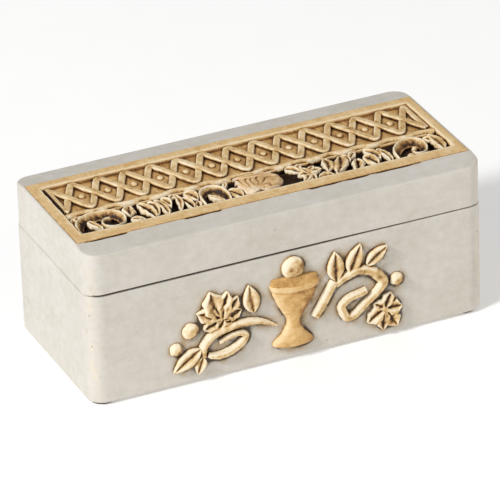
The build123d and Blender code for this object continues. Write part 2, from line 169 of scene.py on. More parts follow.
# Top sections from one edge to the middle or to the other edge: how far out, and what share of the depth down
BAR = [(1, 1), (0.97, 0.55), (0.88, 0.22), (0.7, 0.06), (0.4, 0), (0, 0)]
ROUND = [(1, 1), (0.95, 0.7), (0.82, 0.42), (0.6, 0.16), (0.32, 0.03), (0, 0)]
CHAMFERED = [(1, 1), (0.9, 0.6), (0.66, 0.07), (0.5, 0), (0, 0.04)]
LEAF = [(1, 0.75), (0.93, 0.3), (0.8, 0.06), (0.64, 0), (0.42, 0.2), (0.2, 0.62), (0.07, 0.95), (0, 1)]
SHELL = [(1, 0.3), (0.93, 0.08), (0.78, 0), (0.55, 0.06), (0.3, 0.28), (0, 0.55), (-0.35, 0.78), (-0.7, 0.93), (-1, 1)]


def both_sides(half_section):
    return half_section + [(-out, down) for out, down in reversed(half_section[:-1])]


FOOT = -0.3  # how far a piece on the front goes into its bed
LEAST = 0.05  # what is left of a bar's height or half width at its thinnest


def swept(stations, section, depth, foot):
    """A bar along stations of (x, y, half width, top height, side slope)."""
    run = np.gradient(stations[:, :2], axis=0)
    run /= np.linalg.norm(run, axis=1)[:, None]
    outline = [(section[0][0], None), *section, (section[-1][0], None)]

    def place(row, column):
        x, y, half, top, slope = stations[row]
        out, down = outline[column % len(outline)]
        out *= half
        height = foot if down is None else max(foot + LEAST, top - down * depth + slope * out)
        return (x - run[row][1] * out, y + run[row][0] * out, height)

    return draped_grid(len(stations), len(outline) + 1, place)


LEAF_ROWS = 22
LEAF_TEETH = 3


def leaf(
    base, tip, width, height, foot=FOOT, groove=0.8, slope=0.0, bend=0.0, widest=0.42, teeth=0.0, droop=0.45, rise=0.0,
):
    """A folded leaf. groove is the midrib's depth, slope leans it sideways, and rise lifts its tip."""
    base, tip = np.array(base, float), np.array(tip, float)
    side = np.array([base[1] - tip[1], tip[0] - base[0]])
    skew = math.log(0.5) / math.log(widest)
    stations = []
    for row in range(LEAF_ROWS + 1):
        along = row / LEAF_ROWS
        x, y = base + (tip - base) * along + side * bend * math.sin(math.pi * along)
        swell = math.sin(math.pi * min(max(along, 0.008), 0.992) ** skew)
        half = width / 2 * swell ** 0.8 * (1 + teeth * math.sin(2 * LEAF_TEETH * math.pi * along))
        top = height + rise * (along - 0.5) - droop * (1 - swell ** 0.5)
        stations.append((x, y, max(half, LEAST), top, slope))
    return swept(np.array(stations), both_sides(LEAF), groove, foot)


BOSS_RINGS = 10
BOSS_SPOKES = 32


def boss(centre, radius, height, flatness=2.0, foot=FOOT, stretch=1.0):
    """A round boss, domed at flatness 2 and flat-topped as flatness grows."""
    def place(row, column):
        out = math.sin(row / BOSS_RINGS * math.pi / 2) if row < BOSS_RINGS else 1
        angle = 2 * math.pi * (column % BOSS_SPOKES) / BOSS_SPOKES
        up = height * max(0, 1 - out ** flatness) ** (1 / flatness) if row <= BOSS_RINGS else foot
        x = centre[0] + radius * out * math.cos(angle)
        y = centre[1] + radius * stretch * out * math.sin(angle)
        return (x, y, up)

    return draped_grid(BOSS_RINGS + 2, BOSS_SPOKES + 1, place)


CRISP = {
    "left_vine_stem", "left_vine_curl", "left_bud_leaf", "left_large_leaf", "left_small_leaf",
    "right_vine_stem", "right_vine_bend", "right_inner_leaf", "right_middle_leaf", "right_outer_leaf",
}
CRISP_ANGLE = math.radians(28)
sculpted = {"front": [], "lid": []}
PANELS = {"front": FRONT, "lid": LID_TOP, "box": BOX}


def vertex_places(mesh):
    flat = np.empty(len(mesh.vertices) * 3, np.float32)
    mesh.vertices.foreach_get("co", flat)
    return flat.reshape(-1, 3)


def finish_piece(name, bm, panel, body, slot, finish, *nodes):
    bmesh.ops.triangulate(bm, faces=[f for f in bm.faces if len(f.verts) > 4])
    mesh = as_mesh(name, bm)
    if panel in sculpted:
        sculpted[panel].append((mesh, vertex_places(mesh)))
    mesh.transform(Matrix.Scale(MM, 4) @ PANELS[panel])
    mesh.polygons.foreach_set("use_smooth", [True] * len(mesh.polygons))
    if CRISP.intersection(nodes):
        mesh.set_sharp_from_angle(angle=CRISP_ANGLE)
    mesh.materials.append(finish)
    piece = add_object(name, mesh)
    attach(piece, body)
    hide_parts(*nodes)
    return mesh


# Finishes

def linear(*values):
    """A paint colour, measured as 0 to 255, in the renderer's units."""
    return tuple((v / 255 / 12.92 if v < 10.3 else ((v / 255 + 0.055) / 1.055) ** 2.4) for v in values) + (1.0,)


# the palest colour serves the wiped high places and the painted highlights; the darkest serves the deepest wash, the
# pits and the painted shade
CREAM = linear(247, 233, 205)
LIGHT_TAN = linear(232, 205, 158)
TAN = linear(211, 176, 120)
BROWN = linear(157, 113, 62)
DARK_WASH_AND_SHADE = linear(48, 29, 15)
IVORY = linear(214, 209, 201)
GREY_WASH = linear(196, 190, 177)
STAIN_AND_SHADOW = linear(184, 158, 118)
FELT = linear(34, 29, 26)


class Recipe:
    """A material's node tree, built one node at a time."""

    def __init__(self, name):
        self.material = bpy.data.materials.new(name)
        self.material.use_nodes = True
        self.tree = self.material.node_tree
        self.shader = self.tree.nodes["Principled BSDF"]
        self.place = self.tree.nodes.new("ShaderNodeTexCoord").outputs["Object"]

    def feed(self, socket, value):
        """Give an input another node's output to follow, or a fixed value."""
        if isinstance(value, bpy.types.NodeSocket):
            self.tree.links.new(value, socket)
        else:
            socket.default_value = value

    def add(self, kind, links=(), **settings):
        """links is pairs of (input name or number, output or value)."""
        new = self.tree.nodes.new(kind)
        for key, value in settings.items():
            setattr(new, key, value)
        for key, value in links:
            self.feed(new.inputs[key], value)
        return new

    def stretched(self, x, y, z):
        return self.add("ShaderNodeMapping", [("Vector", self.place), ("Scale", (x, y, z))]).outputs["Vector"]

    def noise(self, scale, detail=3, place=None, roughness=0.5):
        node = self.add("ShaderNodeTexNoise", [
            ("Vector", place or self.place), ("Scale", scale), ("Detail", detail), ("Roughness", roughness),
        ])
        return node.outputs["Fac"]

    def span(self, value, low, high, new_low=0.0, new_high=1.0):
        node = self.add("ShaderNodeMapRange", [
            ("Value", value), ("From Min", low), ("From Max", high), ("To Min", new_low), ("To Max", new_high),
        ])
        return node.outputs["Result"]

    def vary(self, value, new_low, new_high):
        """A noise's middle range, spread between two values."""
        return self.span(value, 0.3, 0.7, new_low, new_high)

    def calc(self, operation, first, second):
        return self.add("ShaderNodeMath", [(0, first), (1, second)], operation=operation).outputs[0]

    def plus(self, first, second):
        return self.calc("ADD", first, second)

    def times(self, first, second):
        return self.calc("MULTIPLY", first, second)

    def blend(self, amount, first, second, kind="MIX"):
        node = self.add("ShaderNodeMix", [(0, amount), (6, first), (7, second)], data_type="RGBA", blend_type=kind)
        return node.outputs[2]

    def ramp(self, value, stops):
        node = self.add("ShaderNodeValToRGB", [("Fac", value)])
        bar = node.color_ramp
        while len(bar.elements) < len(stops):
            bar.elements.new(0.5)
        for element, (place, colour) in zip(bar.elements, stops):
            element.position = place
            element.color = colour
        return node.outputs["Color"]

    def attribute(self, name):
        return self.add("ShaderNodeAttribute", attribute_name=name).outputs["Fac"]

    def finish(self, colour, roughness, height, strength, distance):
        bump = self.add("ShaderNodeBump", [("Height", height), ("Strength", strength), ("Distance", distance)])
        for key, value in (("Base Color", colour), ("Roughness", roughness), ("Normal", bump.outputs["Normal"])):
            self.feed(self.shader.inputs[key], value)
        return self.material


def wiped_wash_and_painted_light(name, tint, tinting, mottle):
    """Honey tan paint, brown wash left in the hollows and wiped off the high places; the depth it follows also carries
    painted shade and painted highlights.
    """
    r = Recipe(name)
    sunk = r.attribute("sunk")
    blotch = r.noise(230, 5, roughness=0.6)
    grit = r.noise(1500, 4, roughness=0.65)
    strokes = r.noise(900, 3, r.stretched(1, 0.25, 1))
    level = r.plus(r.span(sunk, -1, 1), r.vary(blotch, -0.13 * mottle, 0.15 * mottle))
    level = r.plus(level, r.vary(grit, -0.06, 0.06))
    level = r.plus(level, r.vary(strokes, -0.04, 0.04))
    colour = r.ramp(level, [
        (0.0, CREAM), (0.2, CREAM), (0.36, LIGHT_TAN), (0.5, TAN), (0.64, BROWN), (0.82, DARK_WASH_AND_SHADE),
    ])
    colour = r.blend(tinting, colour, tint, "MULTIPLY")
    roughness = r.vary(grit, 0.5, 0.68)
    height = r.plus(grit, strokes)
    r.shader.inputs["Specular IOR Level"].default_value = 0.35
    return r.finish(colour, roughness, height, 0.35, 0.00012)


def ivory_wash_and_painted_light():
    """Matte ivory paint, brushed along the box, with a thin grey wash, pits, stains by the relief with painted shadow,
    painted shade in the gaps between parts, and a painted highlight on the upright edges.
    """
    r = Recipe("ivory_wash_and_painted_light")
    clouds = r.noise(38, 4)
    brushed = r.noise(420, 4, r.stretched(0.3, 1, 1), 0.6)
    mottled = r.noise(240, 5, roughness=0.7)
    fine = r.noise(1900, 3)
    wash = r.plus(r.span(clouds, 0.35, 0.65, 0.1, 0.5), r.vary(brushed, -0.12, 0.16))
    wash = r.plus(wash, r.vary(mottled, -0.28, 0.36))
    colour = r.blend(wash, IVORY, GREY_WASH)
    sunk = r.attribute("sunk")
    # stains beside the relief, partly painted shadow on the side away from the light
    stain_and_shadow = r.times(r.span(sunk, 0.05, 0.7, 0, 0.85), r.span(r.noise(200, 5, roughness=0.6), 0.4, 0.58))
    colour = r.blend(stain_and_shadow, colour, STAIN_AND_SHADOW)
    # darkest stains, partly painted shadow, and painted shade in the gaps between parts, dark throughout
    dark = r.times(r.span(sunk, 0.66, 0.98, 0, 0.9), r.span(r.noise(170, 4), 0.4, 0.56))
    dark = r.calc("MAXIMUM", dark, r.span(sunk, 1.1, 1.6))
    colour = r.blend(dark, colour, DARK_WASH_AND_SHADE)
    cells = r.add("ShaderNodeTexVoronoi", [("Vector", r.place), ("Scale", 260.0)], feature="F1")
    pit = r.span(cells.outputs["Distance"], 0.04, 0.13, 1, 0)
    pit = r.times(pit, r.span(r.noise(75, 3), 0.56, 0.66))
    colour = r.blend(r.times(pit, 0.4), colour, DARK_WASH_AND_SHADE)
    # painted highlight: the upright edges paler in cream; the brown chips below are wear
    corner = r.span(sunk, -0.1, -1)
    colour = r.blend(r.times(corner, r.span(mottled, 0.4, 0.6, 0.0, 0.35)), colour, CREAM)
    chips = r.times(r.span(r.noise(520, 3), 0.6, 0.66), r.span(r.noise(110, 2), 0.5, 0.58))
    colour = r.blend(r.times(corner, r.times(chips, 0.7)), colour, BROWN)
    roughness = r.vary(brushed, 0.52, 0.66)
    scratch = r.span(r.noise(520, 2, r.stretched(0.06, 0.06, 1)), 0.7, 0.76)
    scratch = r.times(scratch, r.span(r.noise(90, 2), 0.52, 0.62))
    colour = r.blend(r.times(scratch, 0.25), colour, BROWN)
    height = r.calc("SUBTRACT", r.plus(brushed, r.times(fine, 0.4)), pit)
    height = r.calc("SUBTRACT", r.plus(height, r.times(mottled, 1.2)), scratch)
    r.shader.inputs["Specular IOR Level"].default_value = 0.35
    return r.finish(colour, roughness, height, 0.45, 0.0002)


def dark_felt():
    r = Recipe("dark_felt")
    fibres = r.noise(2600, 5, roughness=0.7)
    colour = r.blend(r.span(fibres, 0.35, 0.7), FELT, linear(58, 50, 44))
    r.shader.inputs["Sheen Weight"].default_value = 0.4
    return r.finish(colour, r.vary(fibres, 0.85, 1.0), fibres, 0.6, 0.0002)


casting_paint = ivory_wash_and_painted_light()
relief_paint = wiped_wash_and_painted_light("wiped_tan", (1, 1, 1, 1), 0.0, 1.0)
plaque_paint = wiped_wash_and_painted_light("plaque_tan", linear(250, 238, 216), 0.6, 0.5)
chalice_paint = wiped_wash_and_painted_light("chalice_gold", linear(248, 230, 196), 0.8, 0.6)
dove_paint = wiped_wash_and_painted_light("dove_grey_tan", linear(250, 240, 238), 0.8, 0.6)
felt = dark_felt()


# Castings. A column is a place round a rounded rectangle, and a row is a ring at one inset and height.

CORNER_STEPS = 10
SIDE_STEPS = {"front": 240, "right": 36, "back": 60, "left": 80}


def ring_columns():
    """Side number, and a place along the straight, or an angle round the corner that follows it."""
    columns = []
    for side, steps in enumerate(SIDE_STEPS.values()):
        columns += [(side, 2 * k / steps - 1, 0.0) for k in range(steps)]
        columns += [(side, 1.0, 90.0 * k / CORNER_STEPS) for k in range(CORNER_STEPS)]
    return columns


COLUMNS = ring_columns()
OUTWARD = [(0, -1), (1, 0), (0, 1), (-1, 0)]


def ring_point(column, half_x, half_y, radius):
    """A point of a rounded rectangle."""
    side, along, turn = COLUMNS[column % len(COLUMNS)]
    out_x, out_y = OUTWARD[side]
    core_x, core_y = half_x - radius, half_y - radius
    x = out_x * core_x - out_y * core_x * along
    y = out_y * core_y + out_x * core_y * along
    angle = math.atan2(out_y, out_x) + math.radians(turn)
    return x + radius * math.cos(angle), y + radius * math.sin(angle)


def arc(radius, start, end, steps):
    """Offsets along a quarter round."""
    angles = [math.radians(start + (end - start) * k / steps) for k in range(steps + 1)]
    return [(radius * math.cos(a), radius * math.sin(a)) for a in angles]


def spread(low, high, step):
    count = max(1, round((high - low) / step))
    return [low + (high - low) * k / count for k in range(1, count)]


HALF_X = (base_high.x - base_low.x) / 2
HALF_Y = (base_high.y - base_low.y) / 2
BASE_HEIGHT = base_high.z - base_low.z
CORNER = 6.5
WALL = 5.0
FLOOR = 5.0
CAVITY_CORNER = 3.0
CAVITY_FLOOR_ROUND = 2.5
LEAST_CORNER = 0.4
BOTTOM_ROUND = 1.6
RIM_ROUND = 0.6
RIM_INSIDE = 0.4
RIM_DROP = 0.3
WAVER = 0.14
SLOW_WAVER = 23.0
QUICK_WAVER = 5.0
ROUND_STEPS = 4
OUTER_ROWS = 0.5  # spacing of the rings up the outside and the inside
INNER_ROWS = 3.0


def wavered(x, y, z):
    """The slight unevenness of a hand-finished casting, always inwards so that the size holds."""
    slow = noise.noise(Vector((x, y, z)) / SLOW_WAVER)
    quick = noise.noise(Vector((x, y, z)) / QUICK_WAVER + Vector((9, 4, 2)))
    sink = WAVER * (0.5 + 0.35 * slow + 0.15 * quick)
    return (x * (1 - sink / HALF_X), y * (1 - sink / HALF_Y), z)


def base_rings():
    """(inset, height, corner radius) from the outer bottom edge, over the rim, to the cavity floor."""
    rings = []
    for out, up in arc(BOTTOM_ROUND, -90, 0, ROUND_STEPS):
        rings.append((BOTTOM_ROUND - out, BOTTOM_ROUND + up, CORNER - BOTTOM_ROUND + out))
    for height in spread(BOTTOM_ROUND, BASE_HEIGHT - RIM_ROUND, OUTER_ROWS):
        rings.append((0, height, CORNER))
    for out, up in arc(RIM_ROUND, 0, 90, ROUND_STEPS):
        rings.append((RIM_ROUND - out, BASE_HEIGHT - RIM_ROUND + up, CORNER - RIM_ROUND + out))
    rings.append((WALL - RIM_INSIDE, BASE_HEIGHT, CAVITY_CORNER + RIM_INSIDE))
    rings.append((WALL, BASE_HEIGHT - RIM_DROP, CAVITY_CORNER))
    for height in spread(FLOOR + CAVITY_FLOOR_ROUND, BASE_HEIGHT - RIM_DROP, INNER_ROWS)[::-1]:
        rings.append((WALL, height, CAVITY_CORNER))
    for out, up in arc(CAVITY_FLOOR_ROUND, 0, -90, ROUND_STEPS):
        inset = WALL + CAVITY_FLOOR_ROUND - out
        radius = max(LEAST_CORNER, CAVITY_CORNER - CAVITY_FLOOR_ROUND + out)
        rings.append((inset, FLOOR + CAVITY_FLOOR_ROUND + up, radius))
    return rings


def make_base():
    rings = base_rings()

    def place(row, column):
        inset, height, radius = rings[row]
        x, y = ring_point(column, HALF_X - inset, HALF_Y - inset, radius)
        return wavered(x, y, height)

    return draped_grid(len(rings), len(COLUMNS) + 1, place)


LID_HALF_X = (lid_high.x - lid_low.x) / 2
LID_HALF_Y = (lid_high.y - lid_low.y) / 2
LID_HEIGHT = lid_high.z - rim_z
LIP_DEPTH = rim_z - lid_low.z
LID_CORNER = CORNER - (HALF_X - LID_HALF_X)
LIP_CLEARANCE = 0.6
LIP_INSET = WALL - (HALF_X - LID_HALF_X) + LIP_CLEARANCE
LIP = 2.5
LIP_CHAMFER = 0.6
LIP_FILLET = 0.2
SEAT_EDGE = 1.5
LID_EDGE = 0.5
TOP_EDGE = 0.7
CEILING = 9.3
PLAQUE_HALF_X = (plaque_high.x - plaque_low.x) / 2
PLAQUE_HALF_Y = (plaque_high.y - plaque_low.y) / 2
SEAM = 0.1
FRONT_SEAM = 0.45
CLOSED_SEAM = 0.12
WORN_STRETCHES = ((-77.0, -58.0), (-38.0, -21.0), (12.0, 60.0))
BEVEL_RISE = 1.3
PLAQUE_THICK = plaque_high.z - plaque_low.z
PLAQUE_SIDE = 0.75
# How far the parting line stands open along the front, how much more towards its left, how far at the left end about
# END_CRACK, and up to what height the lid gives way for it
FRONT_OPEN = 0.12
LEFT_OPEN = 0.3
END_OPEN = 0.14
END_CRACK = 5.0
END_SPAN = 13
OPEN_RISE = 1.2
OPENS_FROM = 60  # the place along the front, towards the left, and the length over which it gets wider
OPENS_OVER = 90
RIM_FRONT = 31  # where the rim begins, in front of the middle and left of it
RIM_END = 74


def lid_top(y):
    """Height of the lid's upper surface above the rim."""
    bevel = LID_HALF_Y - PLAQUE_HALF_Y
    outside = share_of((abs(y) - PLAQUE_HALF_Y) / bevel)
    return LID_HEIGHT - BEVEL_RISE * outside


def seam_worn(x):
    """How far the seam in front of the plaque is worn open at this place, 0 to 1."""
    open_here = max(share_of(min(x - start, end - x) / 2) for start, end in WORN_STRETCHES)
    return max(CLOSED_SEAM, open_here * min(1, 0.85 + 0.7 * uneven(x / 6, 3, 1)))


def seam_edges(x, y, inset):
    """A point kept inside the plaque's bed, whose front edge is worn open in three stretches."""
    worn = FRONT_SEAM * seam_worn(x)
    x = max(-PLAQUE_HALF_X - SEAM + inset, min(PLAQUE_HALF_X + SEAM - inset, x))
    y = max(-PLAQUE_HALF_Y - worn + inset, min(PLAQUE_HALF_Y + SEAM - inset, y))
    return x, y


def lifted(x, y, z):
    """The lid sits a hair proud along the front, more to the left, as a hand-fitted lid does."""
    if not -0.05 < z <= OPEN_RISE:
        return z
    front = share_of((-y - RIM_FRONT) / 2) * (FRONT_OPEN + LEFT_OPEN * share_of((OPENS_FROM - x) / OPENS_OVER))
    end = share_of((-x - RIM_END) / 3) * END_OPEN * max(0, 1 - abs(y - END_CRACK) / END_SPAN)
    return max(z, z + (front + end) * (1 - max(0, z) / OPEN_RISE))


def lid_rows():
    """Each row is a function from a column to a point."""
    def ring(inset, height, radius):
        def at(column):
            x, y = ring_point(column, LID_HALF_X - inset, LID_HALF_Y - inset, radius)
            return x, y, height
        return at

    def wall(share, drop, inset):
        def at(column):
            x, y = ring_point(column, LID_HALF_X - inset, LID_HALF_Y - inset, LID_CORNER - inset)
            top = lid_top(y) - drop
            return x, y, LID_EDGE + (top - LID_EDGE) * share
        return at

    def top(share):
        def at(column):
            x, y = ring_point(column, LID_HALF_X - TOP_EDGE, LID_HALF_Y - TOP_EDGE, LID_CORNER - TOP_EDGE)
            inner_x, inner_y = seam_edges(x, y, 0)
            x += (inner_x - x) * share
            y += (inner_y - y) * share
            return x, y, lid_top(y)
        return at

    def rebate(inset, height):
        def at(column):
            x, y, _ = top(1)(column)
            return *seam_edges(x, y, inset), height
        return at

    inner = LIP_INSET + LIP
    rings = []
    for out, up in arc(CAVITY_FLOOR_ROUND, 90, 0, ROUND_STEPS):
        radius = max(LEAST_CORNER, CAVITY_CORNER - CAVITY_FLOOR_ROUND + out)
        rings.append((inner + CAVITY_FLOOR_ROUND - out, CEILING - CAVITY_FLOOR_ROUND + up, radius))
    for height in spread(-LIP_DEPTH, CEILING - CAVITY_FLOOR_ROUND, INNER_ROWS)[::-1]:
        rings.append((inner, height, CAVITY_CORNER))
    rings += [
        (inner, -LIP_DEPTH, CAVITY_CORNER),
        (LIP_INSET + LIP_CHAMFER, -LIP_DEPTH, CAVITY_CORNER + LIP - LIP_CHAMFER),
        (LIP_INSET, -LIP_DEPTH + LIP_CHAMFER, CAVITY_CORNER + LIP),
        (LIP_INSET, -LIP_FILLET, CAVITY_CORNER + LIP), (LIP_INSET - LIP_FILLET, 0, CAVITY_CORNER + LIP),
        (SEAT_EDGE, 0, LID_CORNER - SEAT_EDGE),
    ]
    for out, up in arc(LID_EDGE, -90, 0, ROUND_STEPS):
        rings.append((LID_EDGE - out, LID_EDGE + up, LID_CORNER - LID_EDGE + out))
    rings += [(0, height, LID_CORNER) for height in (0.6, 0.7, 0.8, 0.9, 1.05)]
    rows = [ring(*values) for values in rings]
    rows += [wall(share, TOP_EDGE, 0) for share in spread(0, 1, 0.05)]
    for out, up in arc(TOP_EDGE, 0, 90, 5):
        rows.append(wall(1, TOP_EDGE - up, TOP_EDGE - out))
    rows += [top(share) for share in spread(0, 0.9, 0.07)]
    rows += [top(0.9), top(0.93), top(0.96), top(0.98)]
    rows += [top(1), rebate(0.15, LID_HEIGHT - 0.35), rebate(0.25, LID_HEIGHT - 1.2)]
    rows += [rebate(0.25, LID_HEIGHT - PLAQUE_THICK)]
    return rows


def make_lid():
    rows = lid_rows()

    def place(row, column):
        x, y, z = wavered(*rows[row](column))
        return (x, y, lifted(x, y, z) + rim_z - base_low.z)

    return draped_grid(len(rows), len(COLUMNS) + 1, place)


# Plaque let into the lid

BORDER_LEFT = 4.2
BORDER_RIGHT = 3.4
BORDER_FRONT = 5.8
BORDER_BACK = 4.4
VINE_WIDTH = 15.4
RECESS_LEFT = -PLAQUE_HALF_X + BORDER_LEFT
RECESS_RIGHT = PLAQUE_HALF_X - BORDER_RIGHT
RECESS_FRONT = -PLAQUE_HALF_Y + BORDER_FRONT
RECESS_BACK = PLAQUE_HALF_Y - BORDER_BACK
RAIL_FRONT = RECESS_FRONT + VINE_WIDTH
EDGE = 0.35
SLIT_WIDTH = 1.5
SLIT_DEPTH = 3.4
FACE_STEP = 0.4
FACE_SWELL = 6.0
FACE_DRIFT = 0.22
FACE_SINK = 0.05
WORN_EDGE = 0.4
EDGE_WEAR = 0.3


def grid_lines(low, high, walls, step):
    """Grid lines with a few close ones at each wall, so that its edges stay crisp."""
    near = [wall + shift for wall in walls for shift in (-0.3, -0.12, 0, 0.14, 0.34)]
    lines = sorted([low, high] + near)
    full = []
    for a, b in zip(lines, lines[1:]):
        full.append(a)
        full += spread(a, b, step) if b - a > step else []
    return full + [high]


def unit(values):
    return np.clip(values, 0, 1)


def inside(value, low, high):
    """0 outside two walls and 1 between them, over a steep slope."""
    return unit((value - low) / EDGE) * unit((high - value) / EDGE)


def plaque_height(x, y):
    """Height of the plaque's face, without the reliefs, from its top down."""
    knots = inside(x, RECESS_LEFT, RECESS_RIGHT) * inside(y, RAIL_FRONT - EDGE, RECESS_BACK)
    vines = inside(x, RECESS_LEFT, RECESS_RIGHT) * inside(y, RECESS_FRONT, RAIL_FRONT)
    slit = inside(x, RECESS_LEFT, RECESS_LEFT + SLIT_WIDTH) * inside(y, RAIL_FRONT, RECESS_BACK)
    return -np.maximum(np.maximum(knots * knot_depth, slit * SLIT_DEPTH), vines * vine_depth)


def make_plaque():
    xs = grid_lines(-PLAQUE_HALF_X, PLAQUE_HALF_X, (RECESS_LEFT, RECESS_RIGHT), FACE_STEP)
    ys = grid_lines(-PLAQUE_HALF_Y, PLAQUE_HALF_Y, (RECESS_FRONT, RAIL_FRONT, RECESS_BACK), FACE_STEP)
    sides = (-PLAQUE_THICK, -PLAQUE_SIDE)
    xs, ys = ([lines[0]] * 2 + lines + [lines[-1]] * 2 for lines in (xs, ys))

    def place(row, column):
        x, y = xs[row], ys[column]
        from_edge = min(row, column, len(xs) - 1 - row, len(ys) - 1 - column)
        if from_edge < len(sides):
            return (x, y, sides[from_edge])
        drift = Vector((x, y, 0)) / FACE_SWELL
        across = FACE_DRIFT * noise.noise(drift)
        along = FACE_DRIFT * noise.noise(drift + Vector((5, 0, 3)))
        height = float(plaque_height(x + along, y + across))
        edge = min(PLAQUE_HALF_X - abs(x), PLAQUE_HALF_Y - abs(y))
        height -= EDGE_WEAR * max(0, 1 - edge / WORN_EDGE) ** 2 + FACE_SINK * (1 + noise.noise(drift * 3))
        return (x, y, height)

    return draped_grid(len(xs), len(ys), place)


# Knot band: two strands that pass over and under each other

STRAND = 1.4
STRAND_GAP = 0.3
STRAND_STATIONS = 26
STRAND_TOP = -0.12
STRAND_DIP = 0.38
PLAIT_PITCH = 11.0
PLAIT_FOOT = -knot_depth - 0.2
RAIL_WIDTH = 2.4
RAIL_WAVES = 24
RAIL_SWAY = 0.45
PLAIT_LEFT = RECESS_LEFT + STRAND + STRAND_GAP
PLAIT_RIGHT = RECESS_RIGHT - STRAND - STRAND_GAP
PLAIT_LOW = RAIL_FRONT + RAIL_WIDTH + RAIL_SWAY + STRAND + STRAND_GAP
PLAIT_HIGH = RECESS_BACK - STRAND - STRAND_GAP
PLAIT_MIDDLE = (PLAIT_LOW + PLAIT_HIGH) / 2
PLAIT_STEPS = 2 * round((PLAIT_RIGHT - PLAIT_LEFT) / PLAIT_PITCH / 2)
PLAIT_STEP = (PLAIT_RIGHT - PLAIT_LEFT) / PLAIT_STEPS
TURN_SHARPNESS = 0.965


def strand(side):
    """One strand from the left end of the band to the right end."""
    stations = []
    count = PLAIT_STEPS * STRAND_STATIONS
    reach = (PLAIT_HIGH - PLAIT_LOW) / 2
    for k in range(count + 1):
        phase = math.pi * k / count * PLAIT_STEPS
        wave = math.asin(TURN_SHARPNESS * math.cos(phase)) / math.asin(TURN_SHARPNESS)
        x = PLAIT_LEFT + (PLAIT_RIGHT - PLAIT_LEFT) * k / count
        y = PLAIT_MIDDLE + side * reach * wave
        drift = uneven(x / 7, side * 5, 0)
        over = side * math.sin(phase)
        top = STRAND_TOP - STRAND_DIP * (0.5 - 0.5 * over) + 0.1 * drift
        stations.append((x, y + 0.25 * drift, STRAND * (1 + 0.08 * drift), top, 0))
    return swept(np.array(stations), both_sides(BAR), 1.0, PLAIT_FOOT)


def make_knot_band():
    bars = []
    for x in (PLAIT_LEFT + 0.4, PLAIT_RIGHT - 0.2):
        ends = [(x, PLAIT_LOW - STRAND * 0.4, 1.1, -0.35, 0), (x, PLAIT_HIGH + STRAND * 0.4, 1.1, -0.35, 0)]
        bars.append(swept(smooth_route(ends, 0.5), both_sides(BAR), 0.9, PLAIT_FOOT))
    return hand_cut(joined([strand(1), strand(-1), *bars]), 0.12, 1.6, 1)


def make_bosses():
    places = [(PLAIT_LEFT + step * PLAIT_STEP, PLAIT_MIDDLE) for step in range(1, PLAIT_STEPS)]
    bm = joined([boss(place, 1.3, 1.0, 2.0, -0.2, 1.15) for place in places])
    bmesh.ops.translate(bm, verts=bm.verts, vec=(0, 0, -knot_depth))
    return hand_cut(bm, 0.12, 0.9, 2)


def make_rail():
    points = []
    for k in range(RAIL_WAVES + 1):
        x = RECESS_LEFT + (RECESS_RIGHT - RECESS_LEFT) * k / RAIL_WAVES
        sway = RAIL_SWAY * (1 if k % 2 else -1)
        wide = RAIL_WIDTH / 2 * (1 + 0.15 * uneven(x / 9, 1, 2))
        points.append((x, RAIL_FRONT + RAIL_WIDTH / 2 + sway, wide, -0.25, 0))
    rail = swept(smooth_route(points, 0.5), both_sides(ROUND), 1.6, -vine_depth + 0.6)
    return hand_cut(rail, 0.14, 1.5, 3)


# Open vine band

SPRAY_FOOT = -vine_depth - 0.2
GRAIN = 0.17


def in_band(x, y, origin=0):
    """A place in the band, measured from its front edge and from origin along it."""
    return (x + origin, y + RECESS_FRONT)


def cluster(leaves, origin, seed):
    """Leaves that lean over each other: base, tip, width, groove, slope, how low it lies."""
    shapes = []
    for base, tip, width, groove, slope, low in leaves:
        ends = in_band(*base, origin), in_band(*tip, origin)
        shapes.append(leaf(*ends, width, -low - 0.2, SPRAY_FOOT, groove, slope, 0.06, 0.45, 0.05, 0.7))
    return hand_cut(fused(shapes, GRAIN), 0.3, 1.4, seed)


def scroll(points, origin, seed):
    """A ribbon with its high edge outside and a hollow slope inside: x, y, half width, how low it lies."""
    stations = [(*in_band(x, y, origin), half, -low, 0) for x, y, half, low in points]
    return hand_cut(swept(smooth_route(stations, 0.4), SHELL, 2.6, SPRAY_FOOT), 0.14, 1.2, seed)


def bead(x, y, radius, low, origin=0):
    grain = boss(in_band(x, y, origin), radius, vine_depth - low, 2.4, -0.2)
    bmesh.ops.translate(grain, verts=grain.verts, vec=(0, 0, -vine_depth))
    return grain


def make_beads():
    return joined([bead(*values, RECESS_RIGHT) for values in RIGHT_SCROLL_BEADS])


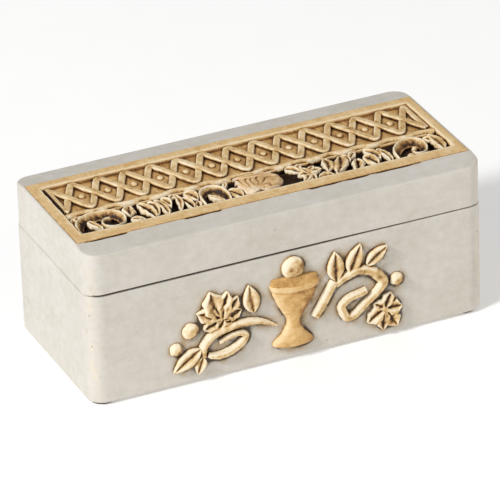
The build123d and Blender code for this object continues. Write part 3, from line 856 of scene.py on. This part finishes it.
LEFT_SCROLL = [
    (1.9, 0.4, 1.4, 0.9), (1.8, 4.8, 1.5, 0.5), (2.7, 8.8, 1.6, 0.3), (5.2, 11.8, 1.6, 0.25),
    (9.2, 13.2, 1.6, 0.25), (13.6, 13.2, 1.6, 0.3), (17.2, 12.0, 1.5, 0.35), (19.0, 9.2, 1.4, 0.4),
    (18.8, 5.9, 1.3, 0.6), (17.0, 3.8, 1.2, 0.8), (14.4, 3.3, 1.2, 0.9), (12.3, 4.7, 1.2, 0.9),
    (11.8, 7.0, 1.1, 1.0), (13.2, 8.9, 1.0, 1.1), (15.4, 9.4, 0.8, 1.3),
]
LEFT_SCROLL_LEAVES = [((9.4, 2.6), (7.2, 11.0), 5.0, 0.9, 0.35, 0.6), ((2.3, 14.4), (0.6, 9.6), 2.6, 0.9, 0.0, 0.4)]
LEFT_SPRAY = [
    ((22.5, 7.6), (25.0, 14.8), 5.0, 1.0, 0.2, 0.4), ((21.4, 5.2), (26.8, 3.0), 4.2, 0.7, -0.1, 1.0),
    ((28.0, 14.6), (30.2, 1.4), 5.6, 2.0, 0.0, 0.4), ((31.9, 14.4), (31.6, 2.8), 3.4, 0.8, 0.5, 0.5),
    ((34.7, 14.7), (35.2, 1.2), 3.8, 0.8, -0.4, 0.4), ((37.2, 14.6), (38.6, 7.2), 3.0, 0.8, 0.4, 0.5),
    ((43.0, 14.6), (39.9, 1.4), 2.6, 0.6, 0.2, 0.4), ((39.6, 12.0), (43.6, 14.4), 2.4, 0.7, 0.0, 0.4),
    ((43.8, 11.8), (45.4, 1.8), 4.0, 1.6, 0.1, 0.6), ((46.4, 14.6), (49.2, 7.0), 4.2, 0.8, 0.4, 0.3),
    ((47.4, 1.6), (49.2, 7.0), 3.0, 0.8, -0.3, 0.9),
]
MIDDLE_SCROLL = [
    (-23.5, 0.4, 1.1, 0.9), (-23.4, 4.6, 1.3, 0.5), (-23.1, 8.2, 1.4, 0.35), (-21.8, 11.2, 1.4, 0.3),
    (-19.2, 12.8, 1.4, 0.3), (-16.4, 12.3, 1.3, 0.35), (-14.7, 9.8, 1.2, 0.5), (-14.3, 6.2, 1.1, 0.7),
    (-14.8, 2.6, 1.0, 0.9),
]
MIDDLE_SCROLL_LEAF = [
    ((-16.6, 1.6), (-20.6, 9.2), 4.4, 0.9, 0.3, 0.6), ((-12.6, 9.4), (-9.4, 1.6), 4.4, 0.8, 0.3, 0.8),
    ((-12.6, 11.2), (-11.2, 14.8), 2.2, 0.7, 0.0, 0.3),
]
RIGHT_SPRAY = [
    ((12.6, 14.6), (16.6, 8.8), 3.4, 0.8, 0.3, 0.4), ((16.6, 12.2), (19.6, 14.8), 2.8, 0.7, 0.0, 0.4),
    ((19.4, 7.2), (18.6, 12.6), 3.6, 0.8, 0.2, 0.4), ((19.4, 7.2), (23.4, 12.2), 3.4, 0.8, -0.2, 0.5),
    ((19.4, 7.2), (25.2, 8.6), 3.2, 0.8, 0.2, 0.5), ((19.4, 7.2), (15.0, 8.2), 3.4, 0.8, -0.2, 0.6),
    ((19.4, 7.2), (15.2, 2.0), 3.6, 0.8, 0.2, 0.6), ((19.4, 7.2), (19.2, 1.0), 3.2, 0.8, 0.0, 0.7),
    ((21.4, 3.2), (28.0, 2.4), 4.0, 0.7, 0.2, 0.8), ((29.2, 14.6), (26.6, 5.6), 5.0, 0.9, -0.2, 0.3),
    ((35.2, 14.4), (28.6, 2.2), 5.8, 1.0, 0.25, 0.3), ((36.0, 14.8), (36.8, 8.2), 3.0, 0.7, -0.3, 0.4),
    ((38.0, 10.8), (41.8, 14.6), 3.2, 0.8, 0.2, 0.4), ((40.0, 9.8), (36.2, 1.2), 5.2, 1.8, 0.0, 0.5),
    ((42.6, 10.2), (45.4, 1.4), 4.6, 0.9, 0.3, 0.5), ((44.6, 14.6), (48.2, 5.8), 4.0, 0.8, 0.2, 0.4),
    ((50.0, 13.6), (50.8, 1.0), 4.2, 0.9, -0.3, 0.5),
]
RIGHT_SCROLL = [
    (-20.5, 0.4, 1.2, 0.9), (-20.4, 4.2, 1.4, 0.5), (-19.8, 7.6, 1.5, 0.35), (-17.9, 10.4, 1.6, 0.3),
    (-15.0, 12.6, 1.6, 0.25), (-11.6, 12.9, 1.6, 0.25), (-9.2, 11.2, 1.5, 0.35), (-8.7, 8.2, 1.4, 0.5),
    (-9.4, 5.4, 1.3, 0.7), (-11.2, 3.6, 1.1, 0.9), (-13.2, 4.4, 1.0, 1.1), (-13.0, 6.6, 0.9, 1.3),
]
RIGHT_SCROLL_BEADS = [(-15.9, 3.4, 1.7, 1.2), (-12.3, 8.2, 1.2, 1.4)]
RIGHT_END_LEAVES = [((-3.7, 14.7), (-3.2, 0.8), 5.4, 0.9, -0.15, 0.3), ((-6.6, 13.4), (-4.6, 8.6), 2.6, 0.7, 0.2, 0.4)]

BREAST = (-4.6, 3.6)
HEAD = (-5.2, 2.9)
WING_REACH = [  # angle about the breast, how far the plumage reaches
    (-24, 5.0), (-15.7, 7.4), (-2, 10.2), (10.5, 13.2), (21.8, 15.4), (32.5, 16.0), (44.5, 15.5), (58, 13.2),
    (74.7, 11.4), (92, 11.3), (105, 11.5), (108, 11.0), (112, 8.4), (125, 7.2), (135, 4.4), (192, 3.0),
]
WING_ROWS = 34
WING_COLUMNS = 150
FEATHERS = 11
WING_FEATHERS = [  # base, tip, width, how low it lies, groove
    ((7.0, 13.4), (-8.2, 15.0), 3.2, 0.1, 0.3), ((3.4, 10.4), (-8.6, 12.2), 2.6, 0.7, 0.3),
    ((0.6, 7.6), (-9.0, 9.4), 2.4, 1.3, 0.3), ((-1.8, 6.4), (-7.0, 1.2), 3.6, 0.3, -0.2),
]


def make_plumage():
    """Body, wings and tail as one swelling shell with long soft feathers."""
    angles, reaches = zip(*WING_REACH)
    breast_x, breast_y = in_band(*BREAST)

    def place(row, column):
        if column > WING_COLUMNS:
            return place(row, 0)
        share = row / WING_ROWS
        turn = column / WING_COLUMNS
        angle = angles[0] + (angles[-1] - angles[0]) * turn
        reach = float(np.interp(angle, angles, reaches))
        drift = 1.1 * uneven(2.2 * share, 3.0 * turn, 4)
        cut = abs(math.sin(math.pi * (FEATHERS * turn + drift + 0.5 * share)))
        out = reach * (share if share < 1 else 0.995) * (1 - 0.04 * (1 - cut) * share ** 3)
        bent = math.radians(angle + 16 * share * (1 - share))
        x, y = breast_x + out * math.cos(bent), breast_y + out * math.sin(bent)
        swell = 0.1 + 1.6 * (share - 0.4) ** 2 + 1.3 * max(0, turn - 0.45) + 1.2 * max(0, 0.22 - turn)
        top = -swell - 0.55 * (1 - cut) ** 2 * min(1, share * 2)
        top -= 1.1 * (max(0, share - 0.84) / 0.16) ** 2
        edge = column in (0, WING_COLUMNS) or row > WING_ROWS
        return (x, y, SPRAY_FOOT if edge else top)

    return draped_grid(WING_ROWS + 2, WING_COLUMNS + 1, place)


def make_dove():
    """A descending dove: wing tips to the left, tail to the right, its head bowed to the lower left."""
    shapes = [make_plumage()]
    for base, tip, width, low, groove in WING_FEATHERS:
        shapes.append(leaf(in_band(*base), in_band(*tip), width, -low, SPRAY_FOOT, groove, 0.1, 0.05, 0.5, droop=0.8))
    shapes += [bead(*HEAD, 2.2, 0.0), bead(-1.9, 1.5, 0.9, 0.9)]
    return hand_cut(fused(shapes, GRAIN), 0.1, 1.6, 9)


# Front relief

FRONT_GRAIN = 0.15
LEFT_STEM = [  # x, y, half width, top height
    (-6.2, 15.8, 0.7, 1.2), (-9.6, 17.7, 1.1, 1.7), (-13.6, 19.5, 1.4, 2.0), (-17.7, 20.2, 1.7, 2.1),
    (-22.5, 20.3, 1.8, 2.1), (-27.3, 19.6, 1.9, 2.1), (-31.8, 18.2, 2.1, 2.1), (-35.0, 15.4, 2.0, 2.0),
    (-35.9, 12.0, 1.7, 1.8), (-35.4, 9.8, 1.2, 1.5),
]
LEFT_CURL = [
    (-34.2, 10.6, 1.1, 1.7), (-31.8, 9.6, 1.5, 2.0), (-28.2, 9.4, 1.8, 2.1), (-24.3, 10.4, 1.9, 2.1),
    (-20.6, 12.6, 1.8, 2.1), (-19.0, 15.0, 1.6, 2.1), (-21.2, 16.6, 1.3, 2.0), (-25.2, 16.2, 1.3, 1.9),
    (-29.6, 14.6, 0.9, 1.6),
]
LEFT_GRAPE = [  # each lobe's base, tip, width and slope
    ((-29.2, 22.6), (-32.6, 36.2), 8.6, 0.12), ((-28.4, 23.6), (-25.6, 35.0), 6.0, -0.1),
    ((-27.4, 24.0), (-21.6, 32.0), 6.4, 0.1), ((-27.6, 23.6), (-20.4, 26.6), 6.0, 0.12),
    ((-28.0, 24.4), (-38.0, 28.6), 6.6, 0.1), ((-28.0, 24.0), (-35.6, 21.4), 6.0, -0.1),
    ((-27.6, 24.2), (-29.8, 20.2), 4.6, 0.0), ((-27.6, 24.2), (-24.4, 22.0), 4.4, 0.0),
]
RIGHT_GRAPE = [
    ((37.2, 11.4), (40.2, 18.2), 5.6, 0.1), ((37.2, 11.6), (44.6, 11.4), 6.4, -0.1),
    ((37.2, 12.0), (42.6, 3.4), 6.8, 0.1), ((37.4, 12.0), (36.6, 3.0), 6.0, -0.1),
    ((37.8, 12.0), (30.4, 7.4), 6.6, 0.1), ((37.8, 11.6), (33.0, 15.0), 4.6, -0.1),
]
RIGHT_TRUNK = [(9.2, 15.4, 1.8, 1.9), (12.0, 19.6, 2.0, 2.1), (14.8, 24.2, 2.0, 2.1), (17.4, 28.4, 1.8, 2.0)]
RIGHT_BEND = [
    (17.6, 26.4, 1.3, 1.9), (21.6, 29.2, 1.8, 2.1), (29.5, 30.9, 2.1, 2.1), (37.2, 24.8, 2.2, 2.1),
    (37.0, 21.4, 2.0, 2.0), (30.0, 16.0, 1.8, 2.0), (23.4, 10.8, 1.8, 2.1), (20.6, 13.6, 1.8, 2.1),
    (20.0, 18.9, 1.8, 2.1), (30.2, 21.3, 1.6, 2.0),
]
CHALICE_FOOT = (0.2, 7.6)
CHALICE_LEAN = 3.0
CHALICE = [  # height, half width, reach, bow
    (6.6, 7.8, 1.8, -1.0), (7.2, 8.3, 2.6, -0.9), (8.6, 7.9, 2.8, -0.6), (10.4, 5.9, 2.8, -0.3),
    (12.2, 4.3, 2.6, 0.0), (14.8, 3.1, 2.3, 0.0), (17.2, 3.2, 2.3, 0.0), (20.0, 4.6, 2.5, -0.2),
    (23.4, 6.8, 2.8, -0.4), (27.0, 8.6, 2.9, -0.6), (29.4, 9.3, 3.0, -0.8), (30.2, 9.7, 3.25, -1.0),
    (31.6, 9.9, 3.3, -1.1), (32.0, 9.8, 3.1, -1.0), (32.1, 9.5, 2.5, -0.8), (32.3, 9.3, 1.9, -0.2),
    (33.2, 9.3, 1.6, 0.5), (33.6, 9.5, 1.5, 0.9), (33.8, 9.4, 0.2, 1.0),
]
CHALICE_COLUMNS = 36


def front_leaf(base, tip, width, seed):
    return hand_cut(leaf(base, tip, width, 2.0, groove=0.7, slope=0.06), 0.12, 1.2, seed)


def grape_leaf(lobes, seed):
    blades = []
    for base, tip, width, slope in lobes:
        blades.append(leaf(base, tip, width, 1.95, groove=1.0, slope=slope, widest=0.56, teeth=0.12, droop=0.3))
    return hand_cut(fused(blades, FRONT_GRAIN), 0.1, 0.9, seed)


def make_chalice():
    """Half a turned cup, flattened, with a sunk lip and a round foot seen from above."""
    rows = smooth_route([(0, up, half, reach, bow) for up, half, reach, bow in CHALICE], 0.35)
    lean = Matrix.Rotation(math.radians(-CHALICE_LEAN), 2)

    def place(row, column):
        _, up, half, reach, bow = rows[row]
        if column > CHALICE_COLUMNS:
            return place(row, 0)
        if column in (0, CHALICE_COLUMNS):
            out, front, reach = (1 if column else -1), 0, FOOT
        else:
            angle = math.pi * (column - 1) / (CHALICE_COLUMNS - 2)
            out, front = -math.cos(angle), math.sin(angle)
            reach = max(LEAST, reach * front ** 0.7)
        flat = lean @ Vector((half * out, up + bow * front - CHALICE_FOOT[1]))
        return (flat.x + CHALICE_FOOT[0], flat.y + CHALICE_FOOT[1], reach)

    cup = draped_grid(len(rows), CHALICE_COLUMNS + 2, place)
    return hand_cut(cup, 0.2, 2.4, 21)


def cut_boss(centre, radius, height, flatness, depth, size, seed):
    return hand_cut(boss(centre, radius, height, flatness), depth, size, seed)


def angular(points):
    """The same line with nearly straight runs between tight corners."""
    points = np.array(points, float)
    full = [points[0]]
    for a, b in zip(points, points[1:]):
        full += [a + (b - a) * 0.3, a + (b - a) * 0.7]
    return full + [points[-1]]


def cut_bar(points, section, seed):
    stations = smooth_route([(*point, 0) for point in points], 0.3)
    return hand_cut(swept(stations, both_sides(section), 1.4, FOOT), 0.16, 1.3, seed)


# Pieces: what makes each, and from which values

FRONT_PIECES = {
    "chalice": (make_chalice,),
    "host": (cut_boss, (0.9, 38.0), 4.6, 2.3, 3.2, 0.3, 1.8, 22),
    "left_vine_stem": (cut_bar, LEFT_STEM, ROUND, 23),
    "left_vine_curl": (cut_bar, LEFT_CURL, CHAMFERED, 24),
    "left_grape_leaf": (grape_leaf, LEFT_GRAPE, 25),
    "left_bud_leaf": (front_leaf, (-15.5, 23.9), (-17.2, 35.4), 6.8, 26),
    "left_large_leaf": (front_leaf, (-37.2, 14.0), (-48.0, 6.7), 6.6, 27),
    "left_small_leaf": (front_leaf, (-36.3, 10.4), (-38.6, 3.8), 4.8, 28),
    "left_outer_berry": (cut_boss, (-46.6, 15.7), 2.7, 2.2, 2.2, 0.3, 1.3, 29),
    "left_inner_berry": (cut_boss, (-40.6, 21.9), 3.4, 2.3, 2.2, 0.3, 1.5, 30),
    "right_vine_stem": (cut_bar, RIGHT_TRUNK, CHAMFERED, 31),
    "right_vine_bend": (cut_bar, angular(RIGHT_BEND), CHAMFERED, 32),
    "right_grape_leaf": (grape_leaf, RIGHT_GRAPE, 33),
    "right_inner_leaf": (front_leaf, (18.0, 28.4), (17.8, 40.4), 7.0, 34),
    "right_middle_leaf": (front_leaf, (23.6, 30.1), (28.1, 41.2), 6.8, 35),
    "right_outer_leaf": (front_leaf, (30.5, 31.9), (38.9, 38.0), 5.8, 36),
    "right_berry": (cut_boss, (42.9, 22.7), 2.9, 2.2, 2.4, 0.35, 1.4, 37),
}
LID_PIECES = {
    "knot_band": (make_knot_band,),
    "knot_bosses": (make_bosses,),
    "plaque_rail": (make_rail,),
    "left_scroll": (scroll, LEFT_SCROLL, RECESS_LEFT, 4),
    "left_scroll_leaves": (cluster, LEFT_SCROLL_LEAVES, RECESS_LEFT, 5),
    "left_spray": (cluster, LEFT_SPRAY, RECESS_LEFT, 6),
    "middle_scroll": (scroll, MIDDLE_SCROLL, 0, 7),
    "middle_scroll_leaf": (cluster, MIDDLE_SCROLL_LEAF, 0, 8),
    "dove": (make_dove,),
    "right_spray": (cluster, RIGHT_SPRAY, 0, 10),
    "right_scroll": (scroll, RIGHT_SCROLL, RECESS_RIGHT, 11),
    "right_scroll_leaf": (make_beads,),
    "right_end_leaves": (cluster, RIGHT_END_LEAVES, RECESS_RIGHT, 13),
}
PAINTS = {"chalice": chalice_paint, "dove": dove_paint}

for panel, body, pieces in (("front", "base", FRONT_PIECES), ("lid", "lid", LID_PIECES)):
    for node, (make, *values) in pieces.items():
        paint = PAINTS.get(node, relief_paint)
        finish_piece("carved_" + node, make(*values), panel, body, "carved_relief", paint, node)
finish_piece("carved_plaque", make_plaque(), "lid", "lid", "plaque_cast", plaque_paint, "lid_plaque")
base_mesh = finish_piece("cast_base", make_base(), "box", "base", "box_cast", casting_paint, "box_base")
lid_mesh = finish_piece("cast_lid", make_lid(), "box", "lid", "lid_cast", casting_paint, "lid_shell")

for node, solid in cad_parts.items():
    if node.startswith("foot_pad"):
        solid.data.materials.clear()
        solid.data.materials.append(felt)


# How deep each point lies below its surroundings, which the wash and the painted shade follow

CELL = 0.2
REACHES = ((0.5, 0.4, 0.5, 1), (1.2, 1.0, 0.3, 0.25), (2.8, 2.2, 0.2, 0.1))  # radius, full depth, share, most above


def box_blur(field, radius):
    for axis in (0, 1):
        width = [(radius + 1, radius) if k == axis else (0, 0) for k in (0, 1)]
        total = np.pad(field, width, mode="edge").cumsum(axis)
        count = total.shape[axis]
        upper = np.take(total, range(2 * radius + 1, count), axis)
        lower = np.take(total, range(count - 2 * radius - 1), axis)
        field = (upper - lower) / (2 * radius + 1)
    return field


MOST_STEPS = 12


def surface_points(mesh, points):
    """Points spread over the faces of a mesh, close enough to leave no cell out."""
    mesh.calc_loop_triangles()
    corners = np.empty(len(mesh.loop_triangles) * 3, np.int32)
    mesh.loop_triangles.foreach_get("vertices", corners)
    a, b, c = (points[corners.reshape(-1, 3)[:, k]] for k in range(3))
    span = np.maximum(np.linalg.norm(b - a, axis=1), np.linalg.norm(c - a, axis=1))
    steps = np.clip(np.ceil(span / CELL * 1.2), 1, MOST_STEPS).astype(int)
    covered = []
    for count in range(1, MOST_STEPS + 1):
        chosen = steps == count
        for i in range(count + 1):
            for j in range(count + 1 - i):
                covered.append(a[chosen] + (b - a)[chosen] * (i / count) + (c - a)[chosen] * (j / count))
    return np.concatenate(covered)


class ReliefMap:
    """The heights of one carved face, and how far a point lies below what is around it."""

    def __init__(self, low, high, ground, pieces, depth_wash_and_shade):
        self.low = np.array(low, float)
        self.depth_wash_and_shade = depth_wash_and_shade
        self.size = [int((b - a) / CELL) + 1 for a, b in zip(low, high)]
        xs = self.low[0] + CELL * np.arange(self.size[0])
        ys = self.low[1] + CELL * np.arange(self.size[1])
        heights = np.zeros(self.size) + (ground(xs[:, None], ys[None, :]) if ground else 0)
        for mesh, points in pieces:
            covered = surface_points(mesh, points)
            column, row = self.cells(covered)
            np.maximum.at(heights, (column, row), covered[:, 2])
        self.blurs = []
        for radius, depth, share, above in REACHES:
            cells = max(1, round(radius / CELL))
            self.blurs.append((box_blur(box_blur(heights, cells), cells), depth, share, above))

    def cells(self, points):
        column = np.clip(((points[:, 0] - self.low[0]) / CELL).astype(int), 0, self.size[0] - 1)
        row = np.clip(((points[:, 1] - self.low[1]) / CELL).astype(int), 0, self.size[1] - 1)
        return column, row

    def sunk(self, points, shift):
        column, row = self.cells(points + shift)
        total = np.zeros(len(points))
        for blur, depth, share, above in self.blurs:
            total += share * np.clip((blur[column, row] - points[:, 2]) / depth, -above, 1)
        # darker the lower a point lies: wash with painted shade at the feet of the front pieces, and painted shade in
        # the lid's deep openings
        start, end, strength = self.depth_wash_and_shade
        return total + strength * unit((start - points[:, 2]) / (start - end))


def paint_depth(mesh, values):
    layer = mesh.attributes.new("sunk", "FLOAT", "POINT")
    layer.data.foreach_set("value", values.astype(np.float32))


# near an upright edge: wear chips and a painted highlight
def corner_wear_and_highlight(points):
    """How near a point lies to an upright edge of the box, 0 to 1."""
    inwards = np.maximum(HALF_X - np.abs(points[:, 0]), HALF_Y - np.abs(points[:, 1]))
    return unit((5.0 - inwards) / 2.5)


WASH = 1.15
WASH_SHADE_SHIFT = 0.5  # painted shade: the wash on the front relief is sampled a little away from the light, so it lies darker on the shaded sides, and the stains on the casting carry painted shadow the same way
STAIN_SHADOW_SHIFT = 0.7
PAINTED_GAP_SHADE = 2.0  # painted shade in the gaps between parts, dark throughout
RELIEF_HALF = 54
CHALICE_LIP = (30.1, 32.1)
CHALICE_HALF = 9.9


def chalice_wash_and_highlight(points, depth):
    """Painted highlight: a pale lip round a golden bowl, palest on the left towards the light."""
    lean = math.radians(CHALICE_LEAN)
    along, up = points[:, 0] - CHALICE_FOOT[0], points[:, 1] - CHALICE_FOOT[1]
    across = along * math.cos(lean) - up * math.sin(lean)
    up = along * math.sin(lean) + up * math.cos(lean) + CHALICE_FOOT[1]
    up += 1.05 * np.sqrt(unit(1 - (across / CHALICE_HALF) ** 2))
    lip_low, lip_high = CHALICE_LIP
    outside = np.where(up > lip_high, 0.0, depth * 0.7 - 0.06)
    return np.where((up > lip_low) & (up < lip_high), -0.3 + 0.3 * np.clip(across / 9, -1, 1), outside)


def dove_wash_and_highlight(points, depth):
    """Painted highlight: a pale head."""
    x, y, z = points.T
    away = np.hypot(x - HEAD[0], y - HEAD[1] - RECESS_FRONT)
    return 1.1 * depth - 0.06 - 0.5 * unit((4.0 - away) / 2.0) * (z > -1.4)


def plaque_wash_and_shade(points, depth):
    """Wiped clean on the border, thin on the plait's floor, and painted shade down the plaque's sides in its seam."""
    _, y, z = points.T
    floor = (y > RAIL_FRONT) & (z > -knot_depth - 0.4)
    depth = np.where(z > -0.6, depth - 0.28, np.where(floor, depth * 0.6 - 0.06, depth))
    return np.where((np.abs(y) > PLAQUE_HALF_Y - 0.05) & (z < -PLAQUE_SIDE + 0.01), PAINTED_GAP_SHADE, depth)


def knot_band_shade(points, depth):
    """Painted shade and dark wash at its left end, on the side that faces the slit."""
    return np.where(points[:, 0] < RECESS_LEFT + 1.4, np.maximum(depth, 0.9), depth)


def spray_wash(points, depth):
    return depth * 1.2


# per-piece changes to the wash, with painted shade and painted highlights
WASHES_AND_PAINTED_LIGHT = {
    "carved_chalice": chalice_wash_and_highlight, "carved_dove": dove_wash_and_highlight, "carved_plaque": plaque_wash_and_shade,
    "carved_knot_band": knot_band_shade, "carved_left_spray": spray_wash, "carved_right_spray": spray_wash,
}


def paint_reliefs(relief_map, pieces, shift):
    for mesh, points in pieces:
        depth = WASH * relief_map.sunk(points, shift)
        if mesh.name in WASHES_AND_PAINTED_LIGHT:
            depth = WASHES_AND_PAINTED_LIGHT[mesh.name](points, depth)
        paint_depth(mesh, depth)


def paint_base(mesh, relief_map):
    """Stains beside the front relief, with painted shadow on their side away from the light, and wear with a painted
    highlight on the upright edges.
    """
    places = vertex_places(mesh)
    to_front = np.array((Matrix.Scale(MM, 4) @ FRONT).inverted())
    on_face = places @ to_front[:3, :3].T + to_front[:3, 3]
    front_facing = (on_face[:, 2] > -0.6) & (np.abs(on_face[:, 0]) < RELIEF_HALF)
    # sampled offset away from the light, so the stains also paint the relief's shadow onto the casting
    column, row = relief_map.cells(on_face + (-STAIN_SHADOW_SHIFT, STAIN_SHADOW_SHIFT, 0))
    near, wide = (relief_map.blurs[k][0][column, row] for k in (1, 2))
    stain_and_shadow = front_facing * (0.6 * unit(near / 0.7) + 0.5 * unit((wide - 0.1) / 0.6))
    on_base = places / MM - np.array((0, middle_y, rim_z))
    paint_depth(mesh, unit(stain_and_shadow) - corner_wear_and_highlight(on_base))


def paint_lid(mesh):
    """Painted shade in the open parting line and in the worn seam in front of the plaque, and wear with a painted
    highlight on the upright edges.
    """
    on_lid = vertex_places(mesh) / MM - np.array((0, middle_y, rim_z))
    x, y, z = on_lid.T
    outside_edge = (np.abs(x) > LID_HALF_X - 1.4) | (np.abs(y) > LID_HALF_Y - 1.4)
    along_front = unit((-y - 32.5) / 1.5)
    along_end = (x < -70) * unit(1.3 - np.abs(y - END_CRACK) / 10)
    # painted shade: the lid's lower edge is painted dark up to this height where the parting line stands open
    gap_shade_top = np.where(along_end > 0, 0.08 * along_end, 0.42 + 0.45 * unit((60 - x) / 60))
    parting = unit(1 - (z - gap_shade_top) / 0.12) * outside_edge * np.maximum(along_front, along_end)
    near_seam = (np.abs(y + PLAQUE_HALF_Y + 0.3) < 0.5) & (np.abs(x) < PLAQUE_HALF_X - 0.5) & (z > LID_HEIGHT - 1.8)
    worn = np.array([seam_worn(place) for place in x])
    gap_shade = np.maximum(parting, near_seam * unit(worn * 1.4 - 0.3))
    paint_depth(mesh, PAINTED_GAP_SHADE * gap_shade - 0.7 * (1 - gap_shade) * corner_wear_and_highlight(on_lid))


# the last values set the darkening by depth: painted shade at the feet of the front pieces and in the lid's deep
# openings, with the wash
front_map = ReliefMap((-RELIEF_HALF, 0), (RELIEF_HALF, BASE_HEIGHT), None, sculpted["front"], (0.7, 0.0, 0.2))
lid_map = ReliefMap((-PLAQUE_HALF_X, -PLAQUE_HALF_Y), (PLAQUE_HALF_X, PLAQUE_HALF_Y), plaque_height, sculpted["lid"],
                    (-1.5, -vine_depth, 0.9))
# the front relief's wash is sampled offset away from the light, which paints shade on its shaded sides
paint_reliefs(front_map, sculpted["front"], (-WASH_SHADE_SHIFT, WASH_SHADE_SHIFT, 0))
paint_reliefs(lid_map, sculpted["lid"], (0, 0, 0))
paint_base(base_mesh, front_map)
paint_lid(lid_mesh)


# Studio

TARGET = Vector((-0.0001, 0.0018, 0.0290))
DISTANCE = 1.862
AZIMUTH, ELEVATION, ROLL = (math.radians(a) for a in (-23.65, 28.37, -1.917))
LENS = 360.4


def make_camera():
    data = bpy.data.cameras.new("camera")
    data.lens = LENS
    data.clip_start = 0.01
    camera = add_object("camera", data)
    turn = Matrix.Rotation(AZIMUTH, 4, "Z") @ Matrix.Rotation(math.pi / 2 - ELEVATION, 4, "X")
    turn = turn @ Matrix.Rotation(ROLL, 4, "Z")
    camera.matrix_world = Matrix.Translation(TARGET) @ turn @ Matrix.Translation((0, 0, DISTANCE))
    bpy.context.scene.camera = camera


def soft_light(name, place, size, power, colour=(1, 1, 1)):
    data = bpy.data.lights.new(name, "AREA")
    data.size = size
    data.energy = power
    data.color = colour
    light = add_object(name, data)
    aim = Vector(place) - TARGET
    light.matrix_world = Matrix.Translation(place) @ aim.to_track_quat("Z", "Y").to_matrix().to_4x4()


def make_studio():
    world = bpy.data.worlds.new("studio")
    world.use_nodes = True
    sky = world.node_tree.nodes["Background"]
    sky.inputs["Color"].default_value = (1, 1, 1, 1)
    sky.inputs["Strength"].default_value = 0.4
    bpy.context.scene.world = world
    soft_light("key", (-1.92, -0.62, 1.6), 0.4, 45.5)
    soft_light("fill", (0.78, -0.78, 0.45), 0.7, 2.3, (1.0, 0.91, 0.78))
    floor = bmesh.new()
    bmesh.ops.create_grid(floor, x_segments=2, y_segments=2, size=6.0)
    mesh = as_mesh("floor", floor)
    paper = Recipe("paper")
    grain = paper.noise(40, 2)
    paper.shader.inputs["Emission Color"].default_value = (1, 1, 1, 1)
    paper.shader.inputs["Emission Strength"].default_value = 0.2
    colour = paper.blend(grain, (0.93, 0.93, 0.93, 1), (0.95, 0.95, 0.95, 1))
    mesh.materials.append(paper.finish(colour, paper.span(grain, 0, 1, 0.8, 0.9), grain, 0.02, 0.0001))
    sheet = add_object("floor", mesh)


make_camera()
make_studio()
bpy.context.scene.view_settings.view_transform = "Standard"
